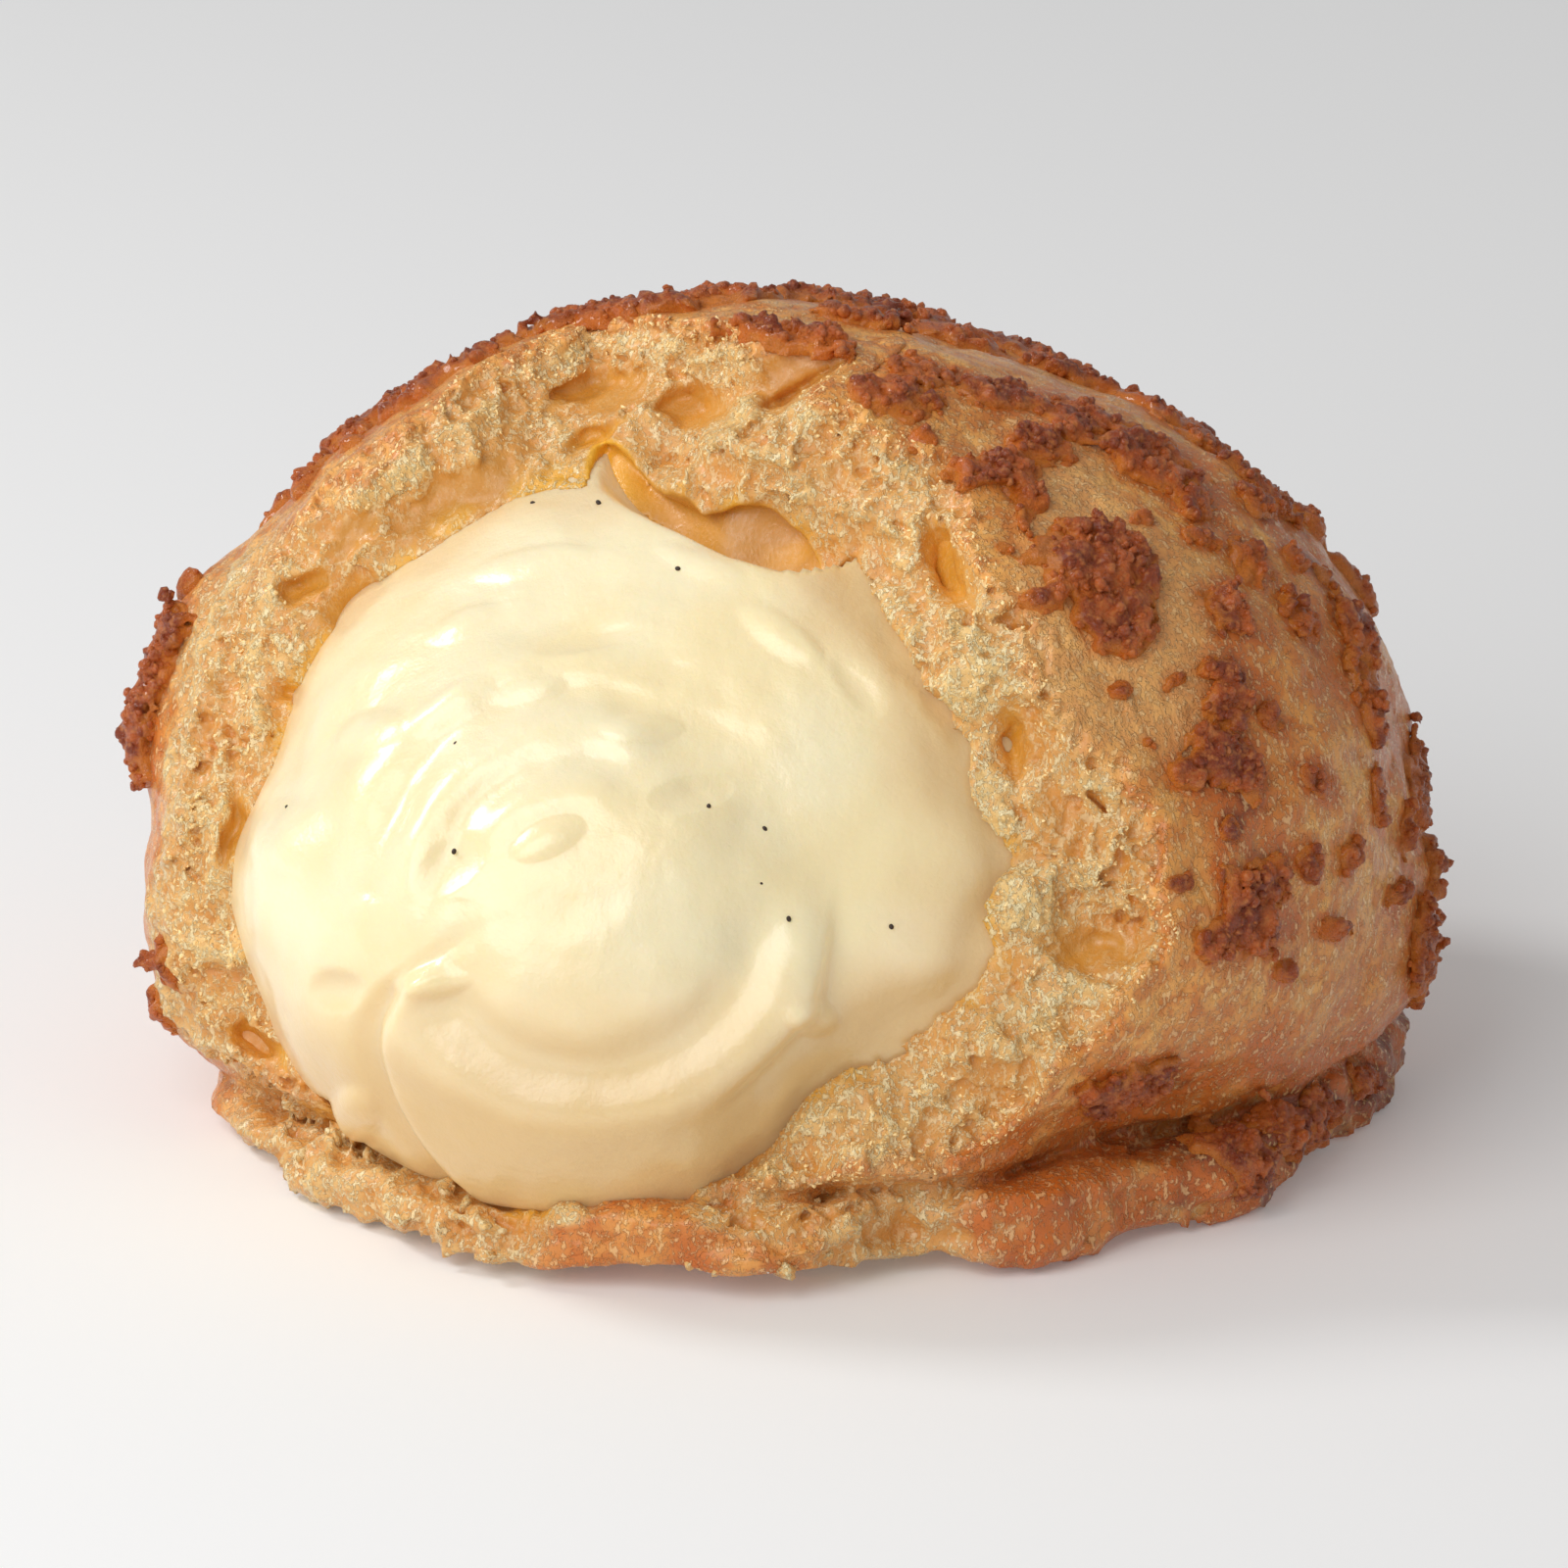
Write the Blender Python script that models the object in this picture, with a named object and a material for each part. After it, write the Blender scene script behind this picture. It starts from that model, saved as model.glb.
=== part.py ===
"""A cream puff with a cookie crust, torn open at the front left, in metres with +Z up.

Two pieces: the baked shell, a dome on a wavy foot, and the custard, which fills the shell and
bulges out of the tear. The puff rests on its foot at z = 0 and its mouth looks to -Y and upwards.
Shapes are worked out in millimetres and scaled once, as each mesh is made.

Face coordinates describe the mouth: u runs to the right, v up the face, and w straight out of it.
"""

import math

import bmesh
import bpy
import numpy as np

MM = 0.001

# The mouth's plane leans back by this much.
FACE_TILT = math.radians(20)
FACE_U = np.array([1.0, 0.0, 0.0])
FACE_V = np.array([0.0, math.sin(FACE_TILT), math.cos(FACE_TILT)])
FACE_W = np.array([0.0, -math.cos(FACE_TILT), math.sin(FACE_TILT)])

# Dome: an egg-like ball with a slow unevenness, cut off inside the foot.
DOME_CENTRE = np.array([0.0, 0.0, 18.0])
DOME_HALF_WIDTH = 41.3
DOME_HALF_DEPTH = 38.8
DOME_ABOVE = 34.6
DOME_BELOW = 26.0
DOME_FLOOR = 1.2
# Slow waves of the dome: how close they are, phase, height.
DOME_UNEVEN = ((4.0, 0.4, 0.5), (9.0, 1.9, 0.3))
# Lumps and hollows of the dome: azimuth and elevation of the middle, spread (degrees), height.
DOME_LUMPS = (
    (172, 18, 7.0, 2.6),
    (177, 8, 6.0, 2.2),
    (186, -16, 12.0, 2.6),
    (-6, -12, 10.0, 2.4),
    (-22, 30, 18.0, 0.8),
    (-52, -20, 15.0, -4.0),
    (60, 25, 20.0, -0.8),
    (110, 20, 16.0, 0.8),
    (30, -2, 14.0, -0.8),
    (-95, 75, 25.0, 0.8),
    (15, 50, 14.0, -0.5),
)

# Foot: the flange that spread on the baking tray.
FOOT_RADIUS = 37.0
FOOT_HEIGHT = 4.4
FOOT_ROUNDING = 1.6
# Azimuth of the foot's thickest side, and how much of its height it gains there.
FOOT_THICKER = (-30, 0.28)
FOOT_SIDES = 64
# Ripples of the rim: waves round it, phase, height.
FOOT_RIPPLES = ((5, 1.0, 0.5), (9, 2.2, 0.35), (14, 0.0, 0.25))
# Lobes and notches of the rim: azimuth, spread (degrees), height.
FOOT_LOBES = (
    (0, 16, 2.6),
    (-32, 7, 1.2),
    (-52, 9, -1.8),
    (-76, 7, -4.0),
    (-108, 14, 1.2),
    (178, 14, 1.0),
    (95, 60, -0.8),
)

# Tear: a slanting face w = level + across * u + up * v, with lobes of u, v, spread and height.
TEAR_LEVEL = 33.0
TEAR_ACROSS = 0.42
TEAR_UP = -0.18
TEAR_LOBES = (
    (-13, 52, 8.5, -8.5),
    (-25, 42, 7.0, 2.0),
    (15, 31, 10.0, 4.2),
    (23, 8, 9.0, -4.6),
    (14, -5, 6.0, -7.0),
    (2, 41, 4.0, 1.5),
    (-31, 33, 7.0, 2.0),
    (-38, 18, 9.0, 3.5),
    (-36, 5, 7.0, -3.0),
)
TEAR_RIPPLE = 0.7
# Crack at the top of the tear: one end of it, its direction, and how far the right flap stands out.
CRACK_END = (1.9, 45.3)
CRACK_ANGLE = math.radians(-151)
CRACK_STEP = 3.6
# Lip: the height at which the foot's torn plate begins, and lobes of u, spread and height.
LIP_HEIGHT = 4.0
LIP_LOBES = ((-8.5, 4.5, 3.4), (-40.0, 4.0, 2.5), (20.0, 6.5, 9.0))
LIP_SLOPE_LEFT = 0.12
LIP_SLOPE_RIGHT = 0.60
LIP_REACH = 38.0

# Custard: a ball at the mouth and a crown above it, run together with the filled cavity.
CUSTARD_CENTRE = np.array([-8.0, -9.0, 19.0])
CAVITY = (np.array([0.0, 0.0, 19.0]), np.array([34.5, 32.5, 27.0]))
BALL = (np.array([-10.5, -12.5, 17.0]), np.array([24.5, 25.5, 21.0]))
CROWN = (np.array([-11.0, -6.0, 28.5]), np.array([19.0, 17.5, 12.5]))
CUSTARD_FLOOR = 3.8
CUSTARD_GAP = 0.3
# Folds of the custard, arcs in the face plane: centre u, v, radius, spread, from, to (degrees), height.
CUSTARD_FOLDS = (
    (-12.5, 13.0, 11.3, 1.7, -155, 0, -1.3),
    (-12.5, 13.0, 14.0, 1.6, -160, 0, 0.9),
    (-5.0, 20.0, 14.5, 1.3, -5, 85, 0.8),
    (-5.0, 20.0, 11.8, 1.4, 0, 80, -0.7),
    (-5.0, 20.0, 9.3, 1.2, 25, 65, 0.5),
    (-13.0, 12.8, 6.5, 1.2, 60, 150, 0.4),
    (-13.0, 12.8, 8.5, 1.0, 60, 170, -0.3),
    (-13.0, 12.8, 10.5, 1.3, 60, 190, 0.45),
    (-13.0, 12.8, 12.8, 1.0, 60, 180, -0.35),
    (-13.0, 12.8, 15.0, 1.4, 70, 170, 0.5),
)
# Dabs and dimples of the custard: u, v, spread, height.
CUSTARD_DABS = (
    (-7.0, 16.5, 3.2, 0.6),
    (2.2, 5.5, 2.0, 0.9),
    (10.7, 11.0, 3.2, 0.7),
    (-13.2, 12.2, 1.1, -0.5),
    (-11.2, 12.5, 1.0, -0.4),
    (-23.0, 7.4, 1.6, 1.3),
    (-29.5, 5.0, 4.0, 0.8),
    (14.0, 9.5, 2.5, 0.8),
    (-33.0, 15.0, 3.0, 0.6),
)
# The front mound laps over the layer to its right: centre u, v, radius and depth of the step.
MOUND = (-12.0, 13.3, 14.6, 1.9)
# The crease between the front lobe and the lobe that hangs at the left: u of it, v of it, depth.
CREASE = (-26.2, 3.0, 1.8)

# Air pocket that was left between the custard and the roof.
POCKET_CENTRE = np.array([-4.0, -8.0, 42.3])
POCKET_HALF = np.array([10.5, 9.5, 3.0])
POCKET_TILT = math.radians(22)


def smooth_step(x, low, high):
    t = np.clip((x - low) / (high - low), 0, 1)
    return t * t * (3 - 2 * t)


def smooth_min(a, b, width):
    h = np.clip(0.5 + 0.5 * (b - a) / width, 0, 1)
    return b + (a - b) * h - width * h * (1 - h)


def smooth_max(a, b, width):
    return -smooth_min(-a, -b, width)


def bell(distance, spread):
    return np.exp(-((distance / spread) ** 2))


def direction(azimuth, elevation):
    a, e = math.radians(azimuth), math.radians(elevation)
    return np.array([math.cos(a) * math.cos(e), math.sin(a) * math.cos(e), math.sin(e)])


def slow_waves(d, scale, phase):
    """Slow unevenness over a ball of directions d, about -1 to 1, from five crossed waves."""
    total = 0
    for i in range(5):
        one = direction(phase * 57 + 137.5 * i, 70 * math.sin(1.7 * i + phase))
        other = direction(phase * 31 + 71.0 * i, 60 * math.cos(2.3 * i + phase))
        ridge = np.sin(scale * (1 + 0.23 * i) * (d @ one) + i + phase)
        total = total + ridge * np.cos(scale * (0.8 + 0.17 * i) * (d @ other) + 2 * i)
    return total / 2.6


def to_surface(start, d, centre, half):
    """How far from start, a point inside it, the ellipsoid's surface is along each direction d."""
    o, k = (start - centre) / half, d / half
    a, b = (k * k).sum(-1), (k * o).sum(-1)
    return (-b + np.sqrt(b * b + a * (1 - (o * o).sum()))) / a


def dome_radius(d):
    below = np.where(d[:, 2] < 0, DOME_BELOW, DOME_ABOVE)
    across, back, up = d[:, 0] / DOME_HALF_WIDTH, d[:, 1] / DOME_HALF_DEPTH, d[:, 2] / below
    r = 1 / np.sqrt(across ** 2 + back ** 2 + up ** 2)
    for scale, phase, height in DOME_UNEVEN:
        r = r + height * slow_waves(d, scale, phase)
    for azimuth, elevation, spread, height in DOME_LUMPS:
        angle = np.degrees(np.arccos(np.clip(d @ direction(azimuth, elevation), -1, 1)))
        r = r + height * bell(angle, spread)
    to_floor = (DOME_CENTRE[2] - DOME_FLOOR) / np.maximum(-d[:, 2], 1e-3)
    return np.minimum(r, to_floor)


def foot_radius(azimuth):
    r = FOOT_RADIUS
    for waves, phase, height in FOOT_RIPPLES:
        r = r + height * np.sin(waves * azimuth + phase)
    for middle, spread, height in FOOT_LOBES:
        r = r + height * bell((np.degrees(azimuth) - middle + 180) % 360 - 180, spread)
    return r


def crack_rise(u, v):
    """The right flap stands out along the crack and the left side lies back."""
    along = (u - CRACK_END[0]) * math.cos(CRACK_ANGLE) + (v - CRACK_END[1]) * math.sin(CRACK_ANGLE)
    across = (v - CRACK_END[1]) * math.cos(CRACK_ANGLE) - (u - CRACK_END[0]) * math.sin(CRACK_ANGLE)
    near = bell(across, 5.0) * smooth_step(along, -9, -5) * (1 - smooth_step(along, 9, 13))
    return CRACK_STEP * near * (smooth_step(across, -0.6, 1.2) - 0.5)


def tear_height(u, v):
    """w of the torn face over the face plane: the wall's tear, and the foot's plate below it."""
    w = TEAR_LEVEL + TEAR_ACROSS * u + TEAR_UP * v + crack_rise(u, v)
    for lobe_u, lobe_v, spread, height in TEAR_LOBES:
        w = w + height * bell(np.hypot(u - lobe_u, v - lobe_v), spread)
    w = w + TEAR_RIPPLE * np.sin(0.55 * u + 0.3 * v) * np.cos(0.5 * v - 0.2 * u + 1)
    lip = LIP_HEIGHT + 0 * u
    for lobe_u, spread, height in LIP_LOBES:
        lip = lip + height * bell(u - lobe_u, spread)
    slope = LIP_SLOPE_LEFT + (LIP_SLOPE_RIGHT - LIP_SLOPE_LEFT) * smooth_step(u, -8, 0)
    plate = (lip + LIP_REACH * slope - FACE_V[2] * v) / (FACE_W[2] + slope)
    return smooth_max(w, plate, 2.0)


def fold_height(u, v, centre_u, centre_v, radius, spread, start, end, height):
    """An arc-shaped ridge or furrow that fades out at both ends."""
    middle, half = math.radians((start + end) / 2), math.radians((end - start) / 2)
    turned = np.arctan2(v - centre_v, u - centre_u) - middle
    off = np.abs((turned + math.pi) % math.tau - math.pi)
    fade = 1 - smooth_step(off, half - 0.35, half + 0.15)
    return height * fade * bell(np.hypot(u - centre_u, v - centre_v) - radius, spread)


def custard_relief(u, v):
    """Height along w of the custard's folds over its plain bulge."""
    h = 0
    for fold in CUSTARD_FOLDS:
        h = h + fold_height(u, v, *fold)
    for dab_u, dab_v, spread, height in CUSTARD_DABS:
        h = h + height * bell(np.hypot(u - dab_u, v - dab_v), spread)
    mound_u, mound_v, radius, depth = MOUND
    out = np.hypot(u - mound_u, v - mound_v)
    lower_right = (1 - smooth_step(v, 17, 27)) * smooth_step(u, -6, -1)
    drop = smooth_step(out, radius, radius + 2.2) * (1 - 0.6 * smooth_step(out, 18, 26))
    h = h - depth * drop * lower_right
    crease_u, crease_v, crease_depth = CREASE
    bend = np.where(v > crease_v, 0.11, 0.06) * (v - crease_v) ** 2
    left_of_it = crease_u + bend - u
    lower = 1 - smooth_step(v, 6, 15)
    furrow = crease_depth * bell(left_of_it, 0.9) + 0.65 * crease_depth * smooth_step(left_of_it, -0.2, 1.2)
    return h - furrow * lower


def pocket_turn():
    """The pocket's own axes as rows: its long axis falls to the right."""
    c, s = math.cos(POCKET_TILT), math.sin(POCKET_TILT)
    return np.array([[c, 0, -s], [0, 1, 0], [s, 0, c]])


def pocket_entry(start, d):
    """How far from start the air pocket begins along each direction d, and 1e3 where it misses it."""
    o = pocket_turn() @ (start - POCKET_CENTRE) / POCKET_HALF
    k = (d @ pocket_turn().T) / POCKET_HALF
    a, b = (k * k).sum(-1), (k * o).sum(-1)
    inside = b * b - a * ((o * o).sum() - 1)
    entry = (-b - np.sqrt(np.maximum(inside, 0))) / a
    return np.where((inside > 0) & (entry > 0), entry, 1e3)


def custard_radius(d):
    r = to_surface(CUSTARD_CENTRE, d, *BALL)
    r = smooth_max(r, to_surface(CUSTARD_CENTRE, d, *CROWN), 5.0)
    point = CUSTARD_CENTRE + d * r[:, None]
    r = r + smooth_step(point @ FACE_W, 2, 16) * custard_relief(point @ FACE_U, point @ FACE_V)
    r = smooth_max(r, to_surface(CUSTARD_CENTRE, d, *CAVITY), 1.0)
    r = np.minimum(r, pocket_entry(CUSTARD_CENTRE, d) + 0.5)
    to_floor = (CUSTARD_CENTRE[2] - CUSTARD_FLOOR) / np.maximum(-d[:, 2], 1e-3)
    return smooth_min(r, to_floor, 1.5)


def points_of(bm):
    return np.array([vertex.co[:] for vertex in bm.verts])


def place(bm, points):
    """Moves the vertices to the points, which are in millimetres."""
    for vertex, point in zip(bm.verts, points):
        vertex.co = point * MM


def finished(name, bm, collection, material=None):
    """An object from the bmesh: a piece with its material, or a cutter without one."""
    bmesh.ops.recalc_face_normals(bm, faces=bm.faces)
    mesh = bpy.data.meshes.new(name)
    bm.to_mesh(mesh)
    bm.free()
    mesh.shade_smooth()
    thing = bpy.data.objects.new(name, mesh)
    collection.objects.link(thing)
    if material:
        mesh.materials.append(material)
    else:
        thing.hide_render = True
        thing.display_type = 'WIRE'
    return thing


def dome_mesh():
    bm = bmesh.new()
    bmesh.ops.create_uvsphere(bm, u_segments=60, v_segments=30, radius=1)
    d = points_of(bm)
    place(bm, DOME_CENTRE + d * dome_radius(d)[:, None])
    return bm


def foot_mesh():
    bm = bmesh.new()
    bmesh.ops.create_cone(
        bm, cap_ends=True, segments=FOOT_SIDES, radius1=FOOT_RADIUS, radius2=FOOT_RADIUS, depth=FOOT_HEIGHT
    )
    rims = [edge for edge in bm.edges if abs(edge.verts[0].co.z - edge.verts[1].co.z) < 1e-6]
    bmesh.ops.bevel(bm, geom=rims, offset=FOOT_ROUNDING, segments=3, profile=0.5, affect='EDGES')
    points = points_of(bm) + np.array([0, 0, FOOT_HEIGHT / 2])
    azimuth = np.arctan2(points[:, 1], points[:, 0])
    points[:, :2] *= (foot_radius(azimuth) / FOOT_RADIUS)[:, None]
    thickest, gain = FOOT_THICKER
    points[:, 2] *= 1 + gain * np.cos(azimuth - math.radians(thickest))
    place(bm, points)
    return bm


def tear_mesh():
    """Everything in front of the torn face, as a slab whose back is that face."""
    half_width, low, high, front = 47.0, -16.0, 60.0, 75.0
    bm = bmesh.new()
    bmesh.ops.create_grid(bm, x_segments=50, y_segments=40, size=1)
    grid = points_of(bm)
    u = grid[:, 0] * half_width
    v = (low + high) / 2 + grid[:, 1] * (high - low) / 2
    place(bm, np.outer(u, FACE_U) + np.outer(v, FACE_V) + np.outer(tear_height(u, v), FACE_W))
    grown = bmesh.ops.extrude_face_region(bm, geom=list(bm.faces))
    for item in grown["geom"]:
        if isinstance(item, bmesh.types.BMVert):
            point = np.array(item.co[:])
            item.co = point + FACE_W * (front * MM - point @ FACE_W)
    return bm


def custard_mesh(grow):
    """The custard, or with grow its room in the shell. Its rings are close together at the mouth."""
    bm = bmesh.new()
    bmesh.ops.create_uvsphere(bm, u_segments=60, v_segments=30, radius=1)
    # The same triangles in the custard and in its room keep the gap between them everywhere.
    bmesh.ops.triangulate(bm, faces=bm.faces, quad_method='FIXED')
    ball = points_of(bm)
    turn = np.arccos(np.clip(ball[:, 2], -1, 1))
    closer = turn - 0.28 * np.sin(turn) * (1 + np.cos(turn))
    azimuth = np.arctan2(ball[:, 1], ball[:, 0])
    side = np.outer(np.cos(azimuth), FACE_U) + np.outer(np.sin(azimuth), FACE_V)
    d = side * np.sin(closer)[:, None] + np.outer(np.cos(closer), FACE_W)
    place(bm, CUSTARD_CENTRE + d * (custard_radius(d) + grow)[:, None])
    return bm


def pocket_mesh():
    bm = bmesh.new()
    bmesh.ops.create_icosphere(bm, subdivisions=3, radius=1)
    place(bm, POCKET_CENTRE + (points_of(bm) * POCKET_HALF) @ pocket_turn())
    return bm


def material(name, colour, roughness):
    made = bpy.data.materials.new(name)
    made.use_nodes = True
    made.diffuse_color = (*colour, 1)
    shader = made.node_tree.nodes["Principled BSDF"]
    shader.inputs["Base Color"].default_value = (*colour, 1)
    shader.inputs["Roughness"].default_value = roughness
    shader.inputs["Metallic"].default_value = 0.0
    return made


def combine(thing, operation, other):
    modifier = thing.modifiers.new(other.name, 'BOOLEAN')
    modifier.operation = operation
    modifier.solver = 'EXACT'
    modifier.object = other


def collection_named(name):
    made = bpy.data.collections.new(name)
    bpy.context.scene.collection.children.link(made)
    return made


def main():
    for thing in list(bpy.data.objects):
        bpy.data.objects.remove(thing, do_unlink=True)
    pieces = collection_named("cream_puff")
    helpers = collection_named("cutters")
    crust = material("baked_crust", (0.62, 0.33, 0.12), 0.65)
    cream = material("custard", (0.90, 0.77, 0.45), 0.30)

    shell = finished("choux_shell", dome_mesh(), pieces, crust)
    combine(shell, 'UNION', finished("foot", foot_mesh(), helpers))
    combine(shell, 'DIFFERENCE', finished("tear", tear_mesh(), helpers))
    combine(shell, 'DIFFERENCE', finished("room", custard_mesh(CUSTARD_GAP), helpers))
    combine(shell, 'DIFFERENCE', finished("pocket", pocket_mesh(), helpers))
    finished("custard_filling", custard_mesh(0), pieces, cream)


main()
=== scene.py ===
"""Looks of the torn cream puff: its browned crust and torn crumb, cookie clusters, custard, crumb
flakes, loose crumbs, vanilla seeds and flour, with a plain pale floor, soft light and the camera.

The first shape functions follow the part's own, in its design millimetres. Here the dome is a little
flatter in places, the foot's front edge curls up, and the custard fills the front of the air pocket.
MM scales them to the frame once, as each mesh is made. Crust, crumb and cookie are solids sampled on
a grid, whose surface is turned into triangles, so that pores and ragged edges are true geometry.

Face coordinates describe the mouth: u runs to the right, v up the face, and w straight out of it.
"""

import itertools
import math

import bmesh
import bpy
import numpy as np
import openvdb
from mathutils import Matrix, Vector


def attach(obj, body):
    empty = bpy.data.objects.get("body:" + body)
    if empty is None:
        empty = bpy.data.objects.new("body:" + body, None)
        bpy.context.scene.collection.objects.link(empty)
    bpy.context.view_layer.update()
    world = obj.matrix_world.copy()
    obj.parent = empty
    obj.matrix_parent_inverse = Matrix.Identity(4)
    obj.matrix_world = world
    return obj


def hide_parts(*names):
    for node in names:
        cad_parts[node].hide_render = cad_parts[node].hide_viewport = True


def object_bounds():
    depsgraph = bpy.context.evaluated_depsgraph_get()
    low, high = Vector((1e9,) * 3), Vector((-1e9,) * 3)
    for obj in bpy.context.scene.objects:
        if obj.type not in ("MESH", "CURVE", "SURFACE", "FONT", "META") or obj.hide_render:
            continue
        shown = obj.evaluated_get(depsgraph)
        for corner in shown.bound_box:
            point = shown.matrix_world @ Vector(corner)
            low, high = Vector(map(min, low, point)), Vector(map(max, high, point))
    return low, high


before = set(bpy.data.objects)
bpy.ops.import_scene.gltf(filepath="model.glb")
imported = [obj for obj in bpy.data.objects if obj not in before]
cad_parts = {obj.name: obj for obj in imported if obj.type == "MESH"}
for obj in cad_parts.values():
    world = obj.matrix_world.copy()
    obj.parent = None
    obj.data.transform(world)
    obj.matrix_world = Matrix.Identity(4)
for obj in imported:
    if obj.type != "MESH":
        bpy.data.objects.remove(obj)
cad_low, cad_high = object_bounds()

# The part's width in its design millimetres, and so the size of one of them in the frame.
DESIGN_WIDTH = 84.79
MM = (cad_high.x - cad_low.x) / DESIGN_WIDTH

# ---------------------------------------------------------------- the main shape

FACE_TILT = math.radians(20)
FACE_U = np.array([1.0, 0.0, 0.0])
FACE_V = np.array([0.0, math.sin(FACE_TILT), math.cos(FACE_TILT)])
FACE_W = np.array([0.0, -math.cos(FACE_TILT), math.sin(FACE_TILT)])
FACE = np.array([FACE_U, FACE_V, FACE_W])

DOME_CENTRE = np.array([0.0, 0.0, 18.0])
DOME_HALF_WIDTH = 41.3
DOME_HALF_DEPTH = 38.8
DOME_ABOVE = 34.6
DOME_BELOW = 26.0
DOME_FLOOR = 1.2
# Slow waves of the dome: how close they are, phase, height.
DOME_UNEVEN = ((4.0, 0.4, 0.5), (9.0, 1.9, 0.3))
# Lumps and hollows of the dome: azimuth and elevation of the middle, spread (degrees), height.
DOME_LUMPS = (
    (172, 18, 7.0, 2.6), (177, 8, 6.0, 2.2), (186, -16, 12.0, 2.6), (-6, -12, 10.0, 2.4),
    (-22, 30, 18.0, 0.8), (-52, -20, 15.0, -4.0), (60, 25, 20.0, -0.8), (110, 20, 16.0, 0.8),
    (30, -2, 14.0, -0.8), (-95, 75, 25.0, 0.8), (15, 50, 14.0, -0.5),
)
# Where the dome is flatter than the part's: azimuth, elevation, spread (degrees), height.
DOME_FLATS = ((34, 60, 15, -1.9), (180, 8, 14, -1.1), (-140, 40, 12, -0.5), (20, 20, 12, -0.6))

FOOT_RADIUS = 37.0
FOOT_HEIGHT = 4.4
FOOT_ROUNDING = 1.6
# The front edge's rise off the table: height, azimuth of its middle, spread (degrees), edge's width.
FOOT_CURL = (1.5, -98, 24, 5)
# Azimuth (degrees) of the foot's thickest side, and how much thicker it is there.
FOOT_THICKER = (-30, 0.28)
# Ripples of the foot's rim: waves round it, phase, height.
FOOT_RIPPLES = ((5, 1.0, 0.5), (9, 2.2, 0.35), (14, 0.0, 0.25))
# Lobes and notches of the rim: azimuth, spread (degrees), height.
FOOT_LOBES = (
    (0, 16, 2.6), (-32, 7, 1.2), (-52, 9, -1.8), (-76, 7, -4.0),
    (-108, 14, 1.2), (178, 14, 1.0), (95, 60, -0.8),
)

# Tear: a slanting face w = level + across * u + up * v, with lobes of u, v, spread and height.
TEAR_LEVEL = 33.0
TEAR_ACROSS = 0.42
TEAR_UP = -0.18
TEAR_LOBES = (
    (-13, 52, 8.5, -8.5), (-25, 42, 7.0, 2.0), (15, 31, 10.0, 4.2), (23, 8, 9.0, -4.6),
    (14, -5, 6.0, -7.0), (2, 41, 4.0, 1.5), (-31, 33, 7.0, 2.0), (-38, 18, 9.0, 3.5),
    (-36, 5, 7.0, -3.0),
)
TEAR_RIPPLE = 0.7
# The crack at the top of the tear: its end, its direction and the step between its two sides.
CRACK_END = (1.9, 45.3)
CRACK_ANGLE = math.radians(-151)
CRACK_STEP = 3.6
# The foot's plate below the tear: its height, lobes of u, spread and height, slopes and reach.
LIP_HEIGHT = 4.0
LIP_LOBES = ((-8.5, 4.5, 3.4), (-40.0, 4.0, 2.5), (20.0, 6.5, 9.0))
LIP_SLOPE_LEFT = 0.12
LIP_SLOPE_RIGHT = 0.60
LIP_REACH = 38.0

# Custard: a ball at the mouth and a crown above it, run together with the filled cavity.
CUSTARD_CENTRE = np.array([-8.0, -9.0, 19.0])
CAVITY = (np.array([0.0, 0.0, 19.0]), np.array([34.5, 32.5, 27.0]))
BALL = (np.array([-10.5, -12.5, 17.0]), np.array([24.5, 25.5, 21.0]))
CROWN = (np.array([-11.0, -6.0, 28.5]), np.array([19.0, 17.5, 12.5]))
CUSTARD_FLOOR = 3.8
# Folds of the custard, arcs in the face plane: centre u, v, radius, spread, from, to (degrees), height.
CUSTARD_FOLDS = (
    (-12.5, 13.0, 11.2, 2.0, -155, 0, -1.2), (-12.5, 13.0, 14.0, 1.8, -160, 0, 0.7),
    (-5.0, 20.0, 14.5, 1.3, -5, 85, 0.8), (-5.0, 20.0, 11.8, 1.4, 0, 80, -0.7),
    (-5.0, 20.0, 9.3, 1.2, 25, 65, 0.5), (-13.0, 12.8, 6.5, 1.2, 60, 150, 0.4),
    (-13.0, 12.8, 8.5, 1.0, 60, 170, -0.3), (-13.0, 12.8, 10.5, 1.3, 60, 190, 0.45),
    (-13.0, 12.8, 12.8, 1.0, 60, 180, -0.35), (-13.0, 12.8, 15.0, 1.4, 70, 170, 0.5),
)
# Dabs and dimples of the custard: u, v, spread, height.
CUSTARD_DABS = (
    (-7.0, 16.5, 3.2, 0.6), (2.2, 5.5, 2.0, 0.9), (10.7, 11.0, 3.2, 0.7), (-13.2, 12.2, 1.3, -0.25),
    (-11.2, 12.5, 1.2, -0.2), (-23.0, 7.4, 1.6, 1.3), (-29.5, 5.0, 4.0, 0.8), (14.0, 9.5, 2.5, 0.8),
    (-33.0, 15.0, 3.0, 0.6),
)
# The swirl's raised mound: u, v, radius and the drop outside it. The crease on its left: u, v, depth.
MOUND = (-12.0, 13.3, 14.6, 1.9)
CREASE = (-26.2, 3.0, 1.8)

POCKET_CENTRE = np.array([-4.0, -8.0, 42.3])
POCKET_HALF = np.array([10.5, 9.5, 3.0])
POCKET_TILT = math.radians(22)

# ---------------------------------------------------------------- what the looks add to it

# The crust lies this far inside the dome, so that the cookie on it reaches the dome's outside.
CRUST_INSET = 0.2
# The torn crumb is a slab this deep behind the torn face. The crust begins under it.
CRUMB_DEPTH = 3.6
CRUST_START = 1.7
# The custard reaches this far into the wall, so that no gap shows.
CUSTARD_TOUCH = 0.15
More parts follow.
